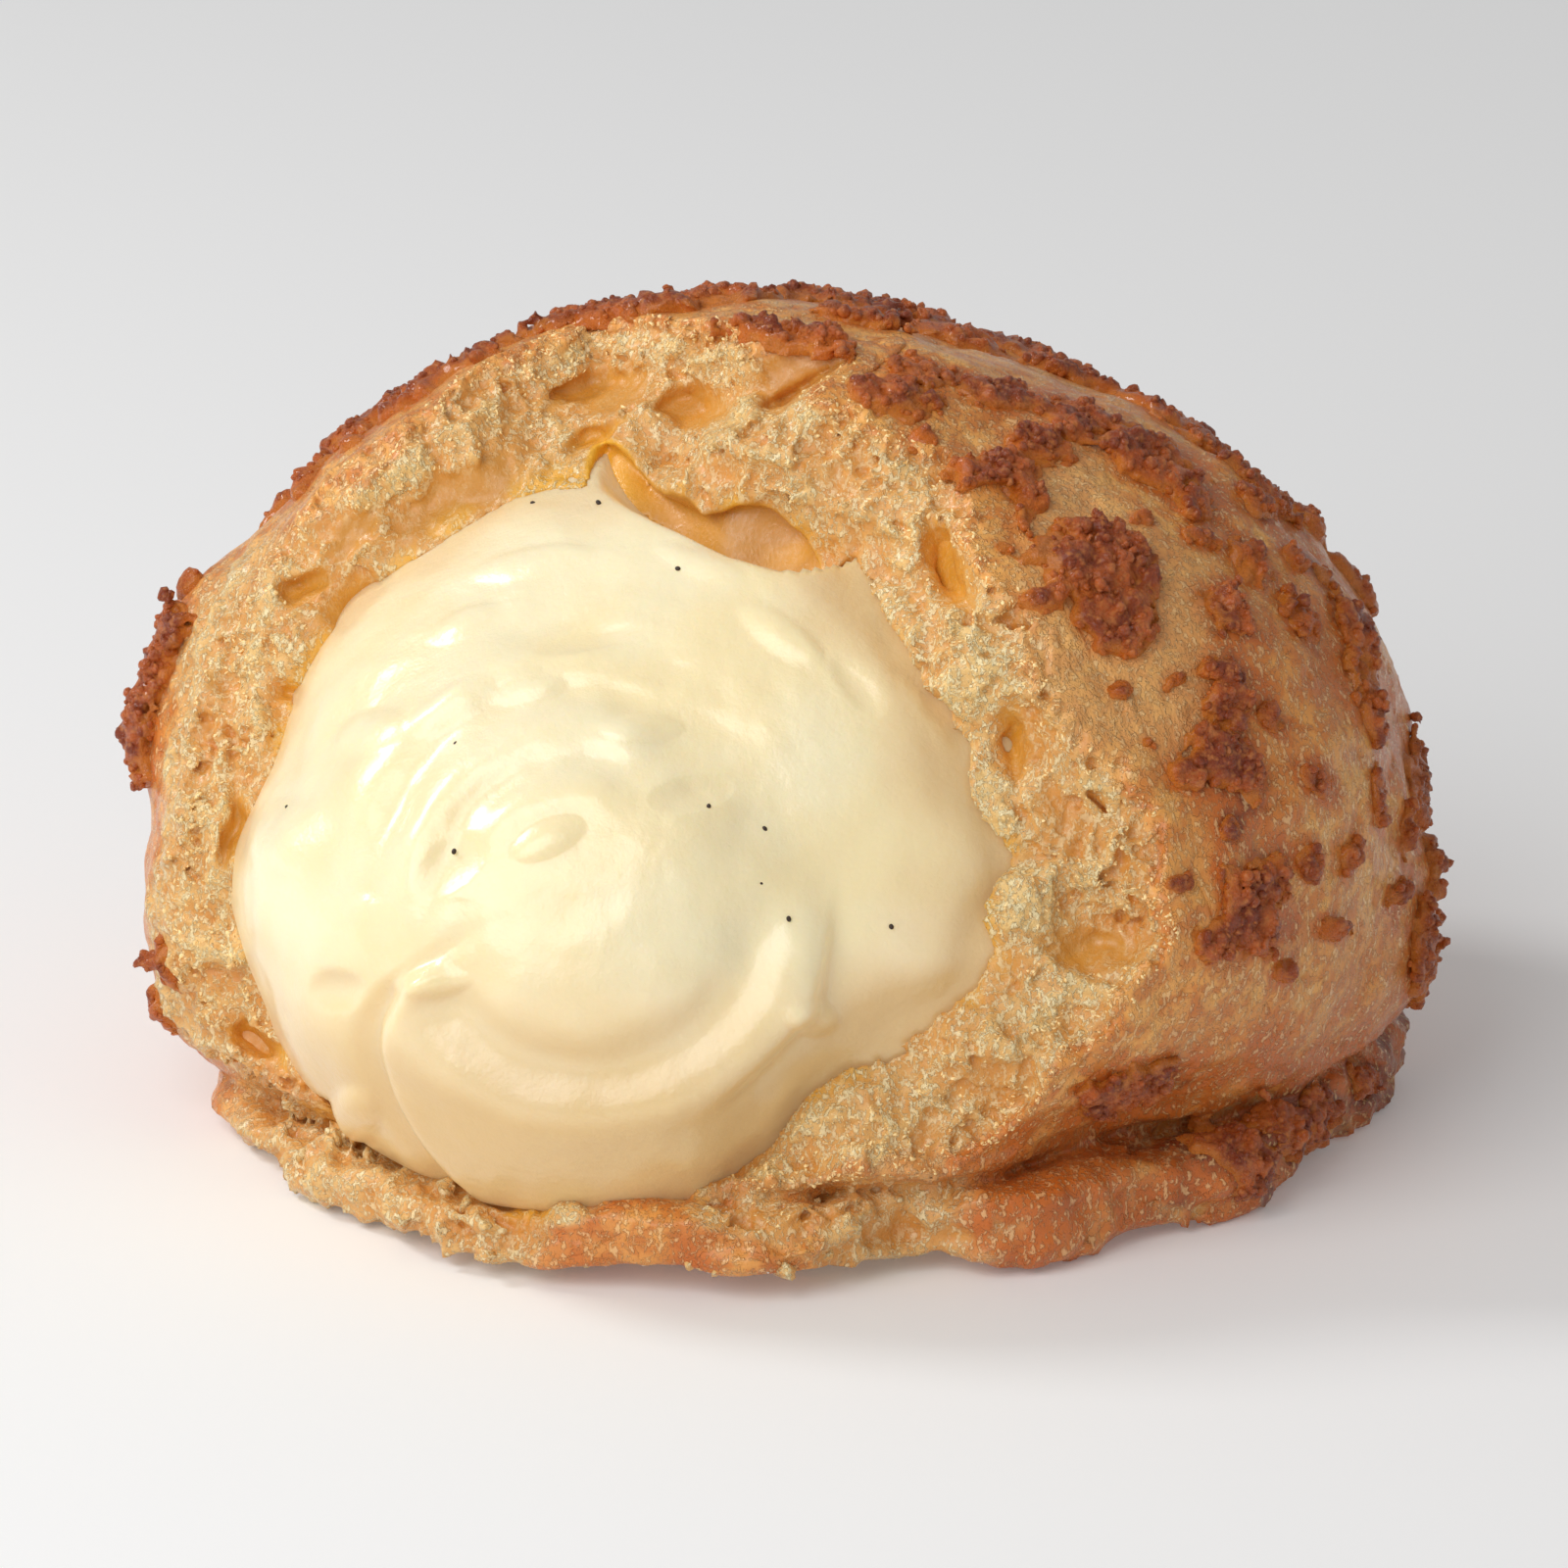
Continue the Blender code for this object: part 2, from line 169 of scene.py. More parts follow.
# Sizes of the grid cells that the solids are sampled on.
CRUST_CELL = 0.36
CRUMB_CELL = 0.23
COOKIE_CELL = 0.21
BACK_COOKIE_CELL = 0.34
# How far at most a solid's surface lies from that of the plainer shape without relief.
CRUST_BAND = 2.0
CRUMB_BAND = 2.4
COOKIE_BAND = 1.7
# The spaces that crust and crumb are sampled in begin at the same corner and end at these.
SHELL_LOW = np.array([-46.0, -42, -1])
CRUST_HIGH = np.array([46.0, 42, 56])
CRUMB_HIGH = np.array([46.0, 8, 56])
# A sampled solid's mesh is thinned to this.
MOST_TRIANGLES = 190_000
# Loose bits with fewer points than this are left out of the crust and crumb, and of the cookie.
LEAST_SHELL = 2000
LEAST_COOKIE = 40
# How many grains stand on the front and the back cookie, and how many other small things there are.
GRAIN_COUNTS = (1500, 950)
FLAKE_COUNT = 9000
LOOSE_CRUMB_COUNT = 420
FLOUR_COUNTS = (900, 500)
# Places for clusters that the mouth's side doesn't show, and the turn between one and the next.
HIDDEN_PLACES = 150
GOLDEN_ANGLE = 2.39996
# The custard's mesh: rings from its front to its back, and points on each ring.
CUSTARD_RINGS = 210
CUSTARD_SEGMENTS = 440
# The middle of the swirl, round which the fine streaks run: u, v.
SWIRL = (-13.0, 12.7)
# The two parts of space that the cookie is made in: the shown side finely, the rest roughly.
FRONT = (np.array([-46.0, -42, 0]), np.array([46.0, 2, 56]))
BACK = (np.array([-46.0, 2, 0]), np.array([46.0, 42, 56]))

# Smooth bubbles of the torn face: u, v, half width, half height, turn (degrees), depth, amber. The amber is
# painted light, as if shining through the crumb.
BUBBLES = (
    (-12.2, 45.0, 3.6, 1.3, 12, 1.3, 0.3), (-6.0, 43.9, 3.4, 1.3, -12, 1.5, 0.3),
    (-11.9, 42.3, 2.6, 0.7, 22, 1.1, 1.0), (1.4, 46.6, 4.2, 2.4, 30, 1.1, 0.1),
    (10.4, 33.4, 1.3, 3.2, 20, 1.7, 0.8), (-30.7, 32.8, 1.6, 1.1, 20, 1.3, 0.6),
    (-27.6, 31.6, 2.2, 1.3, 40, 1.4, 0.8), (-31.2, 25.8, 1.2, 0.8, 0, 1.2, 0.7),
    (-34.8, 17.0, 0.8, 2.6, -10, 1.2, 0.8), (-20.6, 38.4, 4.6, 2.0, 32, 0.9, 0.1),
    (-27.2, 36.0, 2.8, 1.6, 45, 0.8, 0.2), (14.6, 22.6, 1.0, 2.4, 10, 1.3, 0.8),
    (19.0, 9.6, 3.4, 1.4, -12, 0.9, 0.3), (-34.0, 3.0, 2.4, 1.0, -35, 1.6, 0.7),
    (-29.0, -1.4, 3.0, 0.9, -28, 1.4, 0.7),
)
# Lumps of torn crumb: u, v, half width, half height, turn (degrees), height.
CRUMB_LUMPS = (
    (-31.6, -1.6, 3.2, 1.7, -25, 2.0), (-27.0, -4.0, 1.8, 1.9, 30, 1.8), (-29.4, -5.8, 3.8, 1.4, -38, 1.3),
    (-21.4, -7.9, 4.6, 1.5, -14, 1.5), (-13.8, -7.4, 1.5, 1.6, 0, 1.5), (-33.8, 9.4, 2.2, 1.6, -20, 1.3),
    (-34.6, 15.0, 1.4, 1.6, 10, 0.9), (14.4, 12.2, 3.2, 2.6, 10, 1.5), (12.8, 19.0, 1.8, 3.6, 8, 1.0),
    (7.4, 30.0, 1.4, 3.4, 32, 0.9), (-4.0, 42.6, 3.6, 1.5, 30, 1.0), (3.6, 44.6, 4.2, 1.8, 28, 1.3),
    (-16.0, 47.2, 4.6, 1.6, 14, 0.9), (-25.6, 39.4, 3.6, 1.4, 38, 0.9), (4.4, -4.6, 3.4, 2.0, 20, 1.0),
    (-1.0, -5.4, 2.0, 1.4, 0, 1.2),
)
# The air pocket shows between the custard's upper edge and the torn roof's lower edge: u, v.
CUSTARD_EDGE = (
    (-13.6, 41.6), (-12.7, 39.7), (-8.4, 37.3), (-3.4, 34.9), (1.7, 33.4), (4.4, 33.3), (7.2, 31.0),
)
ROOF_EDGE = (
    (-14.0, 41.8), (-10.8, 41.6), (-8.4, 38.9), (-5.1, 36.7), (-3.4, 37.2), (1.3, 38.0), (5.3, 34.4),
)

# Touches on the custard's face that only the looks have: u, v, half width, half height, turn, height.
CUSTARD_TOUCHES = (
    (-20.3, 30.1, 2.6, 0.9, 25, 0.35), (-20.9, 24.8, 3.2, 1.3, 30, 0.45),
    (-26.2, 23.2, 2.4, 1.4, 20, 0.4), (-15.9, 25.7, 2.4, 0.8, 15, 0.35),
    (-8.9, 23.4, 2.8, 0.9, 0, 0.35), (-14.7, 16.5, 2.6, 1.2, 25, 0.45),
    (-22.0, 7.5, 2.6, 1.0, 5, 0.6), (1.7, 5.3, 1.8, 1.2, -10, 0.5),
    (9.2, 24.3, 3.4, 1.1, -55, 0.35), (-0.2, 29.3, 3.4, 1.2, -35, 0.4),
    (-5.3, 33.8, 3.2, 0.9, -20, 0.3), (-20.9, 14.8, 2.8, 1.6, 40, -0.4),
    (-28.1, 7.0, 1.8, 1.4, 0, -0.6), (-31.4, 16.5, 3.2, 2.6, 0, 0.5),
    (-5.8, 19.3, 2.8, 1.2, 10, -0.35), (4.6, 26.0, 2.4, 1.0, -50, -0.35),
    (-16.0, 33.8, 4.2, 1.0, 12, 0.3), (-12.0, 29.0, 4.0, 0.8, 10, -0.3),
    (-29.8, -2.2, 2.8, 2.2, -40, -2.2), (-27.2, -1.0, 1.7, 2.0, 0, 0.9),
)

# Cookie clusters on the shown side: u, v, half width, half height, turn (degrees), thickness.
COOKIES = (
    (6.6, 44.4, 3.4, 1.6, -35, 1.3), (9.0, 46.2, 2.4, 1.3, -20, 0.7), (8.6, 41.9, 1.2, 0.9, 0, 0.7),
    (13.9, 44.6, 3.0, 1.8, -15, 0.9), (13.0, 40.0, 3.4, 1.6, 10, 1.2), (16.2, 41.6, 1.8, 1.6, 20, 1.1),
    (16.0, 37.9, 1.1, 1.2, 0, 1.0), (19.0, 34.2, 3.6, 3.9, 30, 1.9), (20.6, 30.6, 2.8, 2.4, 20, 1.9),
    (16.6, 31.6, 1.6, 1.2, 0, 1.2), (6.8, 36.1, 0.7, 0.6, 40, 0.6), (23.4, 40.2, 3.9, 3.0, -25, 1.5),
    (18.6, 43.0, 2.6, 2.2, 0, 1.0), (26.0, 38.0, 1.8, 1.8, 0, 1.2), (27.0, 42.2, 3.4, 2.0, -40, 1.0),
    (28.4, 30.7, 2.0, 1.8, 0, 1.2), (29.8, 34.2, 1.6, 1.7, -20, 1.1), (32.6, 34.3, 1.3, 0.9, 10, 0.8),
    (32.9, 30.6, 1.5, 1.7, 10, 0.9), (28.2, 25.9, 3.2, 2.0, 35, 1.6), (27.6, 21.4, 2.6, 1.7, -45, 1.5),
    (25.0, 20.6, 1.4, 1.2, 0, 1.2), (22.8, 22.6, 0.9, 0.8, 0, 0.6), (34.0, 20.4, 1.6, 1.3, -30, 0.5),
    (37.8, 19.4, 1.4, 1.6, 0, 0.6), (28.2, 17.2, 0.9, 0.8, 0, 0.6), (30.0, 12.2, 2.8, 2.9, -20, 1.6),
    (27.0, 10.0, 1.6, 1.3, 20, 1.0), (35.0, 10.6, 1.6, 1.0, 0, 1.0), (39.2, 13.0, 1.6, 1.4, 30, 1.1),
    (36.4, 30.4, 1.9, 4.8, 12, 1.2), (37.4, 24.8, 1.8, 2.6, 8, 1.3), (41.4, 10.2, 1.8, 3.4, -5, 1.5),
    (21.8, 0.6, 3.6, 2.4, 0, 1.7), (-41.0, 29.0, 2.2, 4.2, -12, 2.2), (-41.6, 24.0, 2.4, 3.4, 0, 2.4),
    (-39.0, 33.0, 1.2, 1.4, 0, 1.6), (-40.0, 8.6, 1.3, 2.4, 0, 1.4), (-40.6, 5.0, 1.2, 1.6, 0, 1.2),
    (-28.8, 42.4, 1.2, 1.0, 40, 1.0), (31.6, -1.8, 2.6, 2.0, 10, 1.3), (29.4, -4.0, 3.2, 1.8, -12, 1.5),
    (34.6, -1.8, 2.8, 1.6, -22, 1.4), (37.6, 0.8, 1.6, 1.4, 0, 1.2), (24.6, 26.4, 1.2, 0.8, 30, 0.7),
    (21.4, 26.0, 0.8, 0.6, 0, 0.5), (30.6, 24.2, 1.4, 1.0, -30, 0.9), (26.4, 35.6, 1.6, 0.9, -20, 0.8),
    (22.8, 36.8, 1.2, 0.8, 10, 0.6), (30.2, 38.0, 2.2, 1.3, -40, 1.0), (33.8, 37.0, 1.4, 2.2, 35, 1.1),
    (36.0, 15.4, 1.5, 1.0, 10, 0.8), (33.0, 14.6, 1.2, 0.9, 0, 0.8), (40.0, 17.2, 1.0, 1.8, 0, 0.9),
    (31.8, 8.2, 1.2, 0.8, 0, 0.8), (24.6, 13.6, 0.8, 0.7, 0, 0.6),
)
# A band of cookie along the top, behind the tear: u, v, half width, half height, turn, thickness.
TOP_COOKIES = (
    (-24.5, 44.6, 2.6, 1.2, 35, 1.0), (-20.0, 47.2, 2.6, 1.3, 30, 1.2), (-15.0, 49.6, 3.4, 1.5, 18, 1.3),
    (-9.0, 50.6, 4.2, 1.6, 6, 1.4), (-12.5, 51.2, 3.6, 2.6, 12, 1.1), (-5.5, 51.7, 4.2, 3.2, 2, 1.2),
    (1.5, 51.5, 4.4, 3.2, -6, 1.3), (8.5, 50.6, 4.2, 2.8, -12, 1.2), (15.0, 49.0, 4.0, 2.4, -20, 1.1),
    (-3.4, 49.0, 3.0, 1.8, -20, 1.1), (0.4, 48.6, 2.6, 1.5, -10, 1.1), (3.2, 47.6, 1.4, 1.4, 0, 1.1),
    (5.6, 49.6, 3.6, 1.6, -10, 1.2), (11.6, 48.4, 3.8, 1.5, -12, 1.2), (17.6, 46.9, 3.6, 1.6, -25, 1.2),
    (23.0, 44.6, 2.6, 1.4, -35, 1.0), (31.0, 38.6, 3.0, 1.6, -48, 1.1),
)

# ---------------------------------------------------------------- numbers


def smooth_step(x, low, high):
    """0 up to low, 1 from high on, and a smooth rise between them. low may be the larger."""
    t = np.clip((x - low) / (high - low), 0, 1)
    return t * t * (3 - 2 * t)


def smooth_min(a, b, width):
    h = np.clip(0.5 + 0.5 * (b - a) / width, 0, 1)
    return b + (a - b) * h - width * h * (1 - h)


def smooth_max(a, b, width):
    return -smooth_min(-a, -b, width)


def bell(distance, spread):
    return np.exp(-((distance / spread) ** 2))


def direction(azimuth, elevation):
    a, e = math.radians(azimuth), math.radians(elevation)
    return np.array([math.cos(a) * math.cos(e), math.sin(a) * math.cos(e), math.sin(e)])


# Random numbers, three to each corner of a cube of space that repeats itself.
LATTICE = 64
LATTICE_NUMBERS = np.random.default_rng(7).random((LATTICE ** 3, 3), dtype=np.float32)


def lattice_index(corner):
    i = corner.astype(np.int64) & (LATTICE - 1)
    return (i[:, 0] * LATTICE + i[:, 1]) * LATTICE + i[:, 2]


def noise(points, size, seed):
    """Smooth random heights from -1 to 1, with lumps of about that size in millimetres."""
    q = points / size + 7.31 * seed
    corner = np.floor(q)
    t = (q - corner).astype(np.float32)
    t = t * t * (3 - 2 * t)
    total = 0
    for step in itertools.product((0, 1), repeat=3):
        share = 1
        for axis in range(3):
            share = share * (t[:, axis] if step[axis] else 1 - t[:, axis])
        total = total + share * LATTICE_NUMBERS[lattice_index(corner + step), 0]
    return 2 * total - 1


def cells(points, size, seed):
    """Distance to the nearest of the spots strewn one to a cell, in cells, and that spot's own number."""
    q = points / size + 5.77 * seed
    corner = np.floor(q - 0.5)
    nearest = np.full(len(points), 9.0, np.float32)
    own = np.zeros(len(points), np.float32)
    for step in itertools.product((0, 1), repeat=3):
        cell = corner + step
        numbers = LATTICE_NUMBERS[lattice_index(cell)]
        away = q - cell - 0.12 - 0.76 * numbers
        squared = (away * away).sum(1)
        nearer = squared < nearest
        nearest = np.where(nearer, squared, nearest)
        own = np.where(nearer, (numbers.sum(1) * 7.9) % 1, own)
    return np.sqrt(nearest), own


def ridges(points, size, seed):
    """Heights from 0 to 1: sharp crests between rounded hollows of about that size."""
    return (1 - np.abs(noise(points, size, seed))) ** 2


def foam(points, size, seed):
    """Heights from about -0.4 to 0.6: thin walls between round bubbles of about that size."""
    nearest, _ = cells(points, size, seed)
    return nearest ** 1.3 - 0.38


# ---------------------------------------------------------------- shapes


def slow_waves(d, scale, phase):
    total = 0
    for i in range(5):
        one = direction(phase * 57 + 137.5 * i, 70 * math.sin(1.7 * i + phase))
        other = direction(phase * 31 + 71.0 * i, 60 * math.cos(2.3 * i + phase))
        ridge = np.sin(scale * (1 + 0.23 * i) * (d @ one) + i + phase)
        total = total + ridge * np.cos(scale * (0.8 + 0.17 * i) * (d @ other) + 2 * i)
    return total / 2.6


def to_surface(start, d, centre, half):
    """How far from start, a point inside it, the ellipsoid's surface is along each direction d."""
    o, k = (start - centre) / half, d / half
    a, b = (k * k).sum(-1), (k * o).sum(-1)
    return (-b + np.sqrt(b * b + a * (1 - (o * o).sum()))) / a


def dome_radius(d):
    below = np.where(d[:, 2] < 0, DOME_BELOW, DOME_ABOVE)
    across, back, up = d[:, 0] / DOME_HALF_WIDTH, d[:, 1] / DOME_HALF_DEPTH, d[:, 2] / below
    r = 1 / np.sqrt(across ** 2 + back ** 2 + up ** 2)
    for scale, phase, height in DOME_UNEVEN:
        r = r + height * slow_waves(d, scale, phase)
    for azimuth, elevation, spread, height in DOME_LUMPS + DOME_FLATS:
        angle = np.degrees(np.arccos(np.clip(d @ direction(azimuth, elevation), -1, 1)))
        r = r + height * bell(angle, spread)
    return r


def foot_radius(azimuth):
    r = FOOT_RADIUS
    for waves, phase, height in FOOT_RIPPLES:
        r = r + height * np.sin(waves * azimuth + phase)
    for middle, spread, height in FOOT_LOBES:
        r = r + height * bell((np.degrees(azimuth) - middle + 180) % 360 - 180, spread)
    return r


def crack_rise(u, v):
    """The right flap stands out along the crack and the left side lies back."""
    along = (u - CRACK_END[0]) * math.cos(CRACK_ANGLE) + (v - CRACK_END[1]) * math.sin(CRACK_ANGLE)
    across = (v - CRACK_END[1]) * math.cos(CRACK_ANGLE) - (u - CRACK_END[0]) * math.sin(CRACK_ANGLE)
    near = bell(across, 5.0) * smooth_step(along, -9, -5) * (1 - smooth_step(along, 9, 13))
    return CRACK_STEP * near * (smooth_step(across, -0.6, 1.2) - 0.5)


def tear_height(u, v):
    """w of the torn face over the face plane: the wall's tear, and the foot's plate below it."""
    w = TEAR_LEVEL + TEAR_ACROSS * u + TEAR_UP * v + crack_rise(u, v)
    for lobe_u, lobe_v, spread, height in TEAR_LOBES:
        w = w + height * bell(np.hypot(u - lobe_u, v - lobe_v), spread)
    w = w + TEAR_RIPPLE * np.sin(0.55 * u + 0.3 * v) * np.cos(0.5 * v - 0.2 * u + 1)
    lip = LIP_HEIGHT + 0 * u
    for lobe_u, spread, height in LIP_LOBES:
        lip = lip + height * bell(u - lobe_u, spread)
    slope = LIP_SLOPE_LEFT + (LIP_SLOPE_RIGHT - LIP_SLOPE_LEFT) * smooth_step(u, -8, 0)
    plate = (lip + LIP_REACH * slope - FACE_V[2] * v) / (FACE_W[2] + slope)
    return smooth_max(w, plate, 2.0)


def fold_height(u, v, centre_u, centre_v, radius, spread, start, end, height):
    """An arc-shaped ridge or furrow that fades out at both ends."""
    middle, half = math.radians((start + end) / 2), math.radians((end - start) / 2)
    turned = np.arctan2(v - centre_v, u - centre_u) - middle
    off = np.abs((turned + math.pi) % math.tau - math.pi)
    fade = 1 - smooth_step(off, half - 0.35, half + 0.15)
    return height * fade * bell(np.hypot(u - centre_u, v - centre_v) - radius, spread)


def custard_relief(u, v):
    """Height along w of the custard's folds over its plain bulge."""
    h = 0
    for fold in CUSTARD_FOLDS:
        h = h + fold_height(u, v, *fold)
    for dab_u, dab_v, spread, height in CUSTARD_DABS:
        h = h + height * bell(np.hypot(u - dab_u, v - dab_v), spread)
    mound_u, mound_v, radius, depth = MOUND
    out = np.hypot(u - mound_u, v - mound_v)
    lower_right = (1 - smooth_step(v, 17, 27)) * smooth_step(u, -6, -1)
    drop = smooth_step(out, radius, radius + 2.2) * (1 - 0.6 * smooth_step(out, 18, 26))
    h = h - depth * drop * lower_right
    crease_u, crease_v, crease_depth = CREASE
    bend = np.where(v > crease_v, 0.11, 0.06) * (v - crease_v) ** 2
    left_of_it = crease_u + bend - u
    lower = 1 - smooth_step(v, 5, 12)
    furrow = crease_depth * bell(left_of_it, 0.9) + 0.65 * crease_depth * smooth_step(left_of_it, -0.2, 1.2)
    return h - furrow * lower


def pocket_turn():
    """The pocket's own axes as rows: its long axis falls to the right."""
    c, s = math.cos(POCKET_TILT), math.sin(POCKET_TILT)
    return np.array([[c, 0, -s], [0, 1, 0], [s, 0, c]])


def pocket_entry(start, d):
    """How far from start the air pocket begins along each direction d, and 1e3 where it misses it."""
    o = pocket_turn() @ (start - POCKET_CENTRE) / POCKET_HALF
    k = (d @ pocket_turn().T) / POCKET_HALF
    a, b = (k * k).sum(-1), (k * o).sum(-1)
    inside = b * b - a * ((o * o).sum() - 1)
    entry = (-b - np.sqrt(np.maximum(inside, 0))) / a
    return np.where((inside > 0) & (entry > 0), entry, 1e3)


def custard_radius(d):
    """The custard's radius. Below its edge the custard fills the front of the air pocket."""
    r = to_surface(CUSTARD_CENTRE, d, *BALL)
    r = smooth_max(r, to_surface(CUSTARD_CENTRE, d, *CROWN), 5.0)
    point = CUSTARD_CENTRE + d * r[:, None]
    r = r + smooth_step(point @ FACE_W, 2, 16) * custard_relief(point @ FACE_U, point @ FACE_V)
    r = smooth_max(r, to_surface(CUSTARD_CENTRE, d, *CAVITY), 1.0)
    cut = np.minimum(r, pocket_entry(CUSTARD_CENTRE, d) + 0.5)
    point = CUSTARD_CENTRE + d * r[:, None]
    edge = np.interp(point @ FACE_U, *zip(*CUSTARD_EDGE))
    r = r + (cut - r) * smooth_step(point @ FACE_V - edge, -0.9, 0.9)
    to_floor = (CUSTARD_CENTRE[2] - CUSTARD_FLOOR) / np.maximum(-d[:, 2], 1e-3)
    return smooth_min(r, to_floor, 1.5)


# ---------------------------------------------------------------- shapes as distances in millimetres


class SphereTable:
    """A function of direction, sampled once in steps of a degree and then looked up."""

    def __init__(self, function):
        elevation, azimuth = np.meshgrid(
            np.radians(np.arange(-90, 91)), np.radians(np.arange(-180, 181)), indexing='ij'
        )
        level = np.cos(elevation)
        d = np.stack([level * np.cos(azimuth), level * np.sin(azimuth), np.sin(elevation)], -1)
        self.samples = function(d.reshape(-1, 3)).reshape(elevation.shape).astype(np.float32)

    def distance(self, points, centre):
        """How far each point is outside the surface, along the line from the centre."""
        away = points - centre
        level = np.hypot(away[:, 0], away[:, 1])
        row = np.degrees(np.arctan2(away[:, 2], level)) + 90
        column = np.degrees(np.arctan2(away[:, 1], away[:, 0])) + 180
        return np.hypot(level, away[:, 2]) - looked_up(self.samples, row, column)


def looked_up(samples, row, column):
    """Values between the samples of a table."""
    top = np.clip(row.astype(np.int64), 0, samples.shape[0] - 2)
    left = np.clip(column.astype(np.int64), 0, samples.shape[1] - 2)
    down, right = np.clip(row - top, 0, 1), np.clip(column - left, 0, 1)
    upper = samples[top, left] * (1 - right) + samples[top, left + 1] * right
    lower = samples[top + 1, left] * (1 - right) + samples[top + 1, left + 1] * right
    return upper * (1 - down) + lower * down


class TearTable:
    """The torn face's height and slope over the face plane, sampled once and then looked up."""

    LOW_U, LOW_V, STEP = -52.0, -22.0, 0.25

    def __init__(self):
        u, v = np.meshgrid(
            np.arange(self.LOW_U, 52.0, self.STEP), np.arange(self.LOW_V, 66.0, self.STEP), indexing='ij'
        )
        self.heights = tear_height(u, v).astype(np.float32)
        along_u, along_v = np.gradient(self.heights, self.STEP)
        self.lengths = np.sqrt(1 + along_u ** 2 + along_v ** 2)

    def distance(self, face):
        """How far each point is in front of the torn face. The points are in face coordinates."""
        row, column = (face[:, 0] - self.LOW_U) / self.STEP, (face[:, 1] - self.LOW_V) / self.STEP
        over = face[:, 2] - looked_up(self.heights, row, column)
        return over / looked_up(self.lengths, row, column)


DOME = SphereTable(dome_radius)
CUSTARD = SphereTable(custard_radius)
TEAR = TearTable()


def foot_distance(points):
    """How far each point is outside the foot, whose front edge curls up off the table."""
    azimuth = np.arctan2(points[:, 1], points[:, 0])
    thickest, gain = FOOT_THICKER
    height = FOOT_HEIGHT * (1 + gain * np.cos(azimuth - math.radians(thickest)))
    out = np.hypot(points[:, 0], points[:, 1]) - foot_radius(azimuth) + FOOT_ROUNDING
    rise, middle, spread, width = FOOT_CURL
    curl = rise * smooth_step(out, -width, 0) * bell(np.degrees(azimuth) - middle, spread)
    up = np.abs(points[:, 2] - curl - height / 2) - height / 2 + FOOT_ROUNDING
    beyond = np.hypot(np.maximum(out, 0), np.maximum(up, 0))
    return np.minimum(np.maximum(out, up), 0) + beyond - FOOT_ROUNDING


def outer_distance(points):
    """How far each point is outside the plain shell, without the tear."""
    dome = np.maximum(0.95 * DOME.distance(points, DOME_CENTRE), DOME_FLOOR - points[:, 2])
    return smooth_min(dome, foot_distance(points), 0.8)


def pocket_distance(points):
    """How far each point is outside the air pocket, whose torn roof hangs over it in front."""
    k = ((points - POCKET_CENTRE) @ pocket_turn().T) / POCKET_HALF
    length = np.sqrt((k * k).sum(1))
    steep = np.sqrt(((k / POCKET_HALF) ** 2).sum(1))
    face = points @ FACE.T
    ragged = face[:, 1] + 0.5 * noise(points, 1.6, 28)
    under_roof = 0.8 * (ragged - np.interp(face[:, 0], *zip(*ROOF_EDGE)))
    return smooth_max((length - 1) * length / np.maximum(steep, 1e-6), under_roof, 0.4)


def raised(u, v, lumps):
    """Height of rounded lumps on a face."""
    height = np.zeros(len(u))
    for *ellipse, rise in lumps:
        height = height + rise * np.clip(1 - turned_share(u, v, *ellipse) ** 2, 0, 1)
    return height


def turned_share(u, v, centre_u, centre_v, half_u, half_v, turn):
    """Distance from a turned ellipse's middle, 1 at its rim."""
    c, s = math.cos(math.radians(turn)), math.sin(math.radians(turn))
    along = (u - centre_u) * c + (v - centre_v) * s
    across = (v - centre_v) * c - (u - centre_u) * s
    return np.hypot(along / half_u, across / half_v)


def bubbles(points, face):
    """(depth, share, amber) of the smooth bubbles in the torn face, whose outlines are uneven. Their amber
    is painted light, as if shining through the crumb.
    """
    u = face[:, 0] + 0.8 * noise(points, 2.6, 34) + 0.3 * noise(points, 1.0, 35)
    v = face[:, 1] + 0.8 * noise(points, 2.6, 36) + 0.3 * noise(points, 1.0, 37)
    depth, share, tint = (np.zeros(len(points)) for _ in range(3))
    for *ellipse, deep, amber in BUBBLES:
        within = turned_share(u, v, *ellipse)
        hollow = 1 - smooth_step(within, 0.2, 1.2)
        depth = np.maximum(depth, deep * hollow)
        share = np.maximum(share, 1 - smooth_step(within, 0.4, 1.3))
        tint = np.maximum(tint, 0.6 * amber * (1 - smooth_step(within, 0.2, 1.3)))
    return depth, share, tint


def torn_foot(points):
    """1 where the foot's front is torn open, 0 where it keeps its crust."""
    low = 1 - smooth_step(points[:, 2], 4.5, 8)
    azimuth = -np.degrees(np.arctan2(points[:, 1], points[:, 0])) + 3 * noise(points, 2.5, 18)
    left = smooth_step(azimuth, 112, 118) * (1 - smooth_step(azimuth, 158, 170))
    middle = smooth_step(azimuth, 68, 72) * (1 - smooth_step(azimuth, 84, 88))
    return low * np.maximum(left, middle)


def worn(points, before):
    """1 beside the tear on the left, where the crust's skin is torn off with it."""
    left = 1 - smooth_step(points[:, 0], -36, -31)
    ragged = before + 1.2 * noise(points, 2.2, 19)
    return left * smooth_step(ragged, -4.5, -3.0) * smooth_step(points[:, 2], 3, 7)


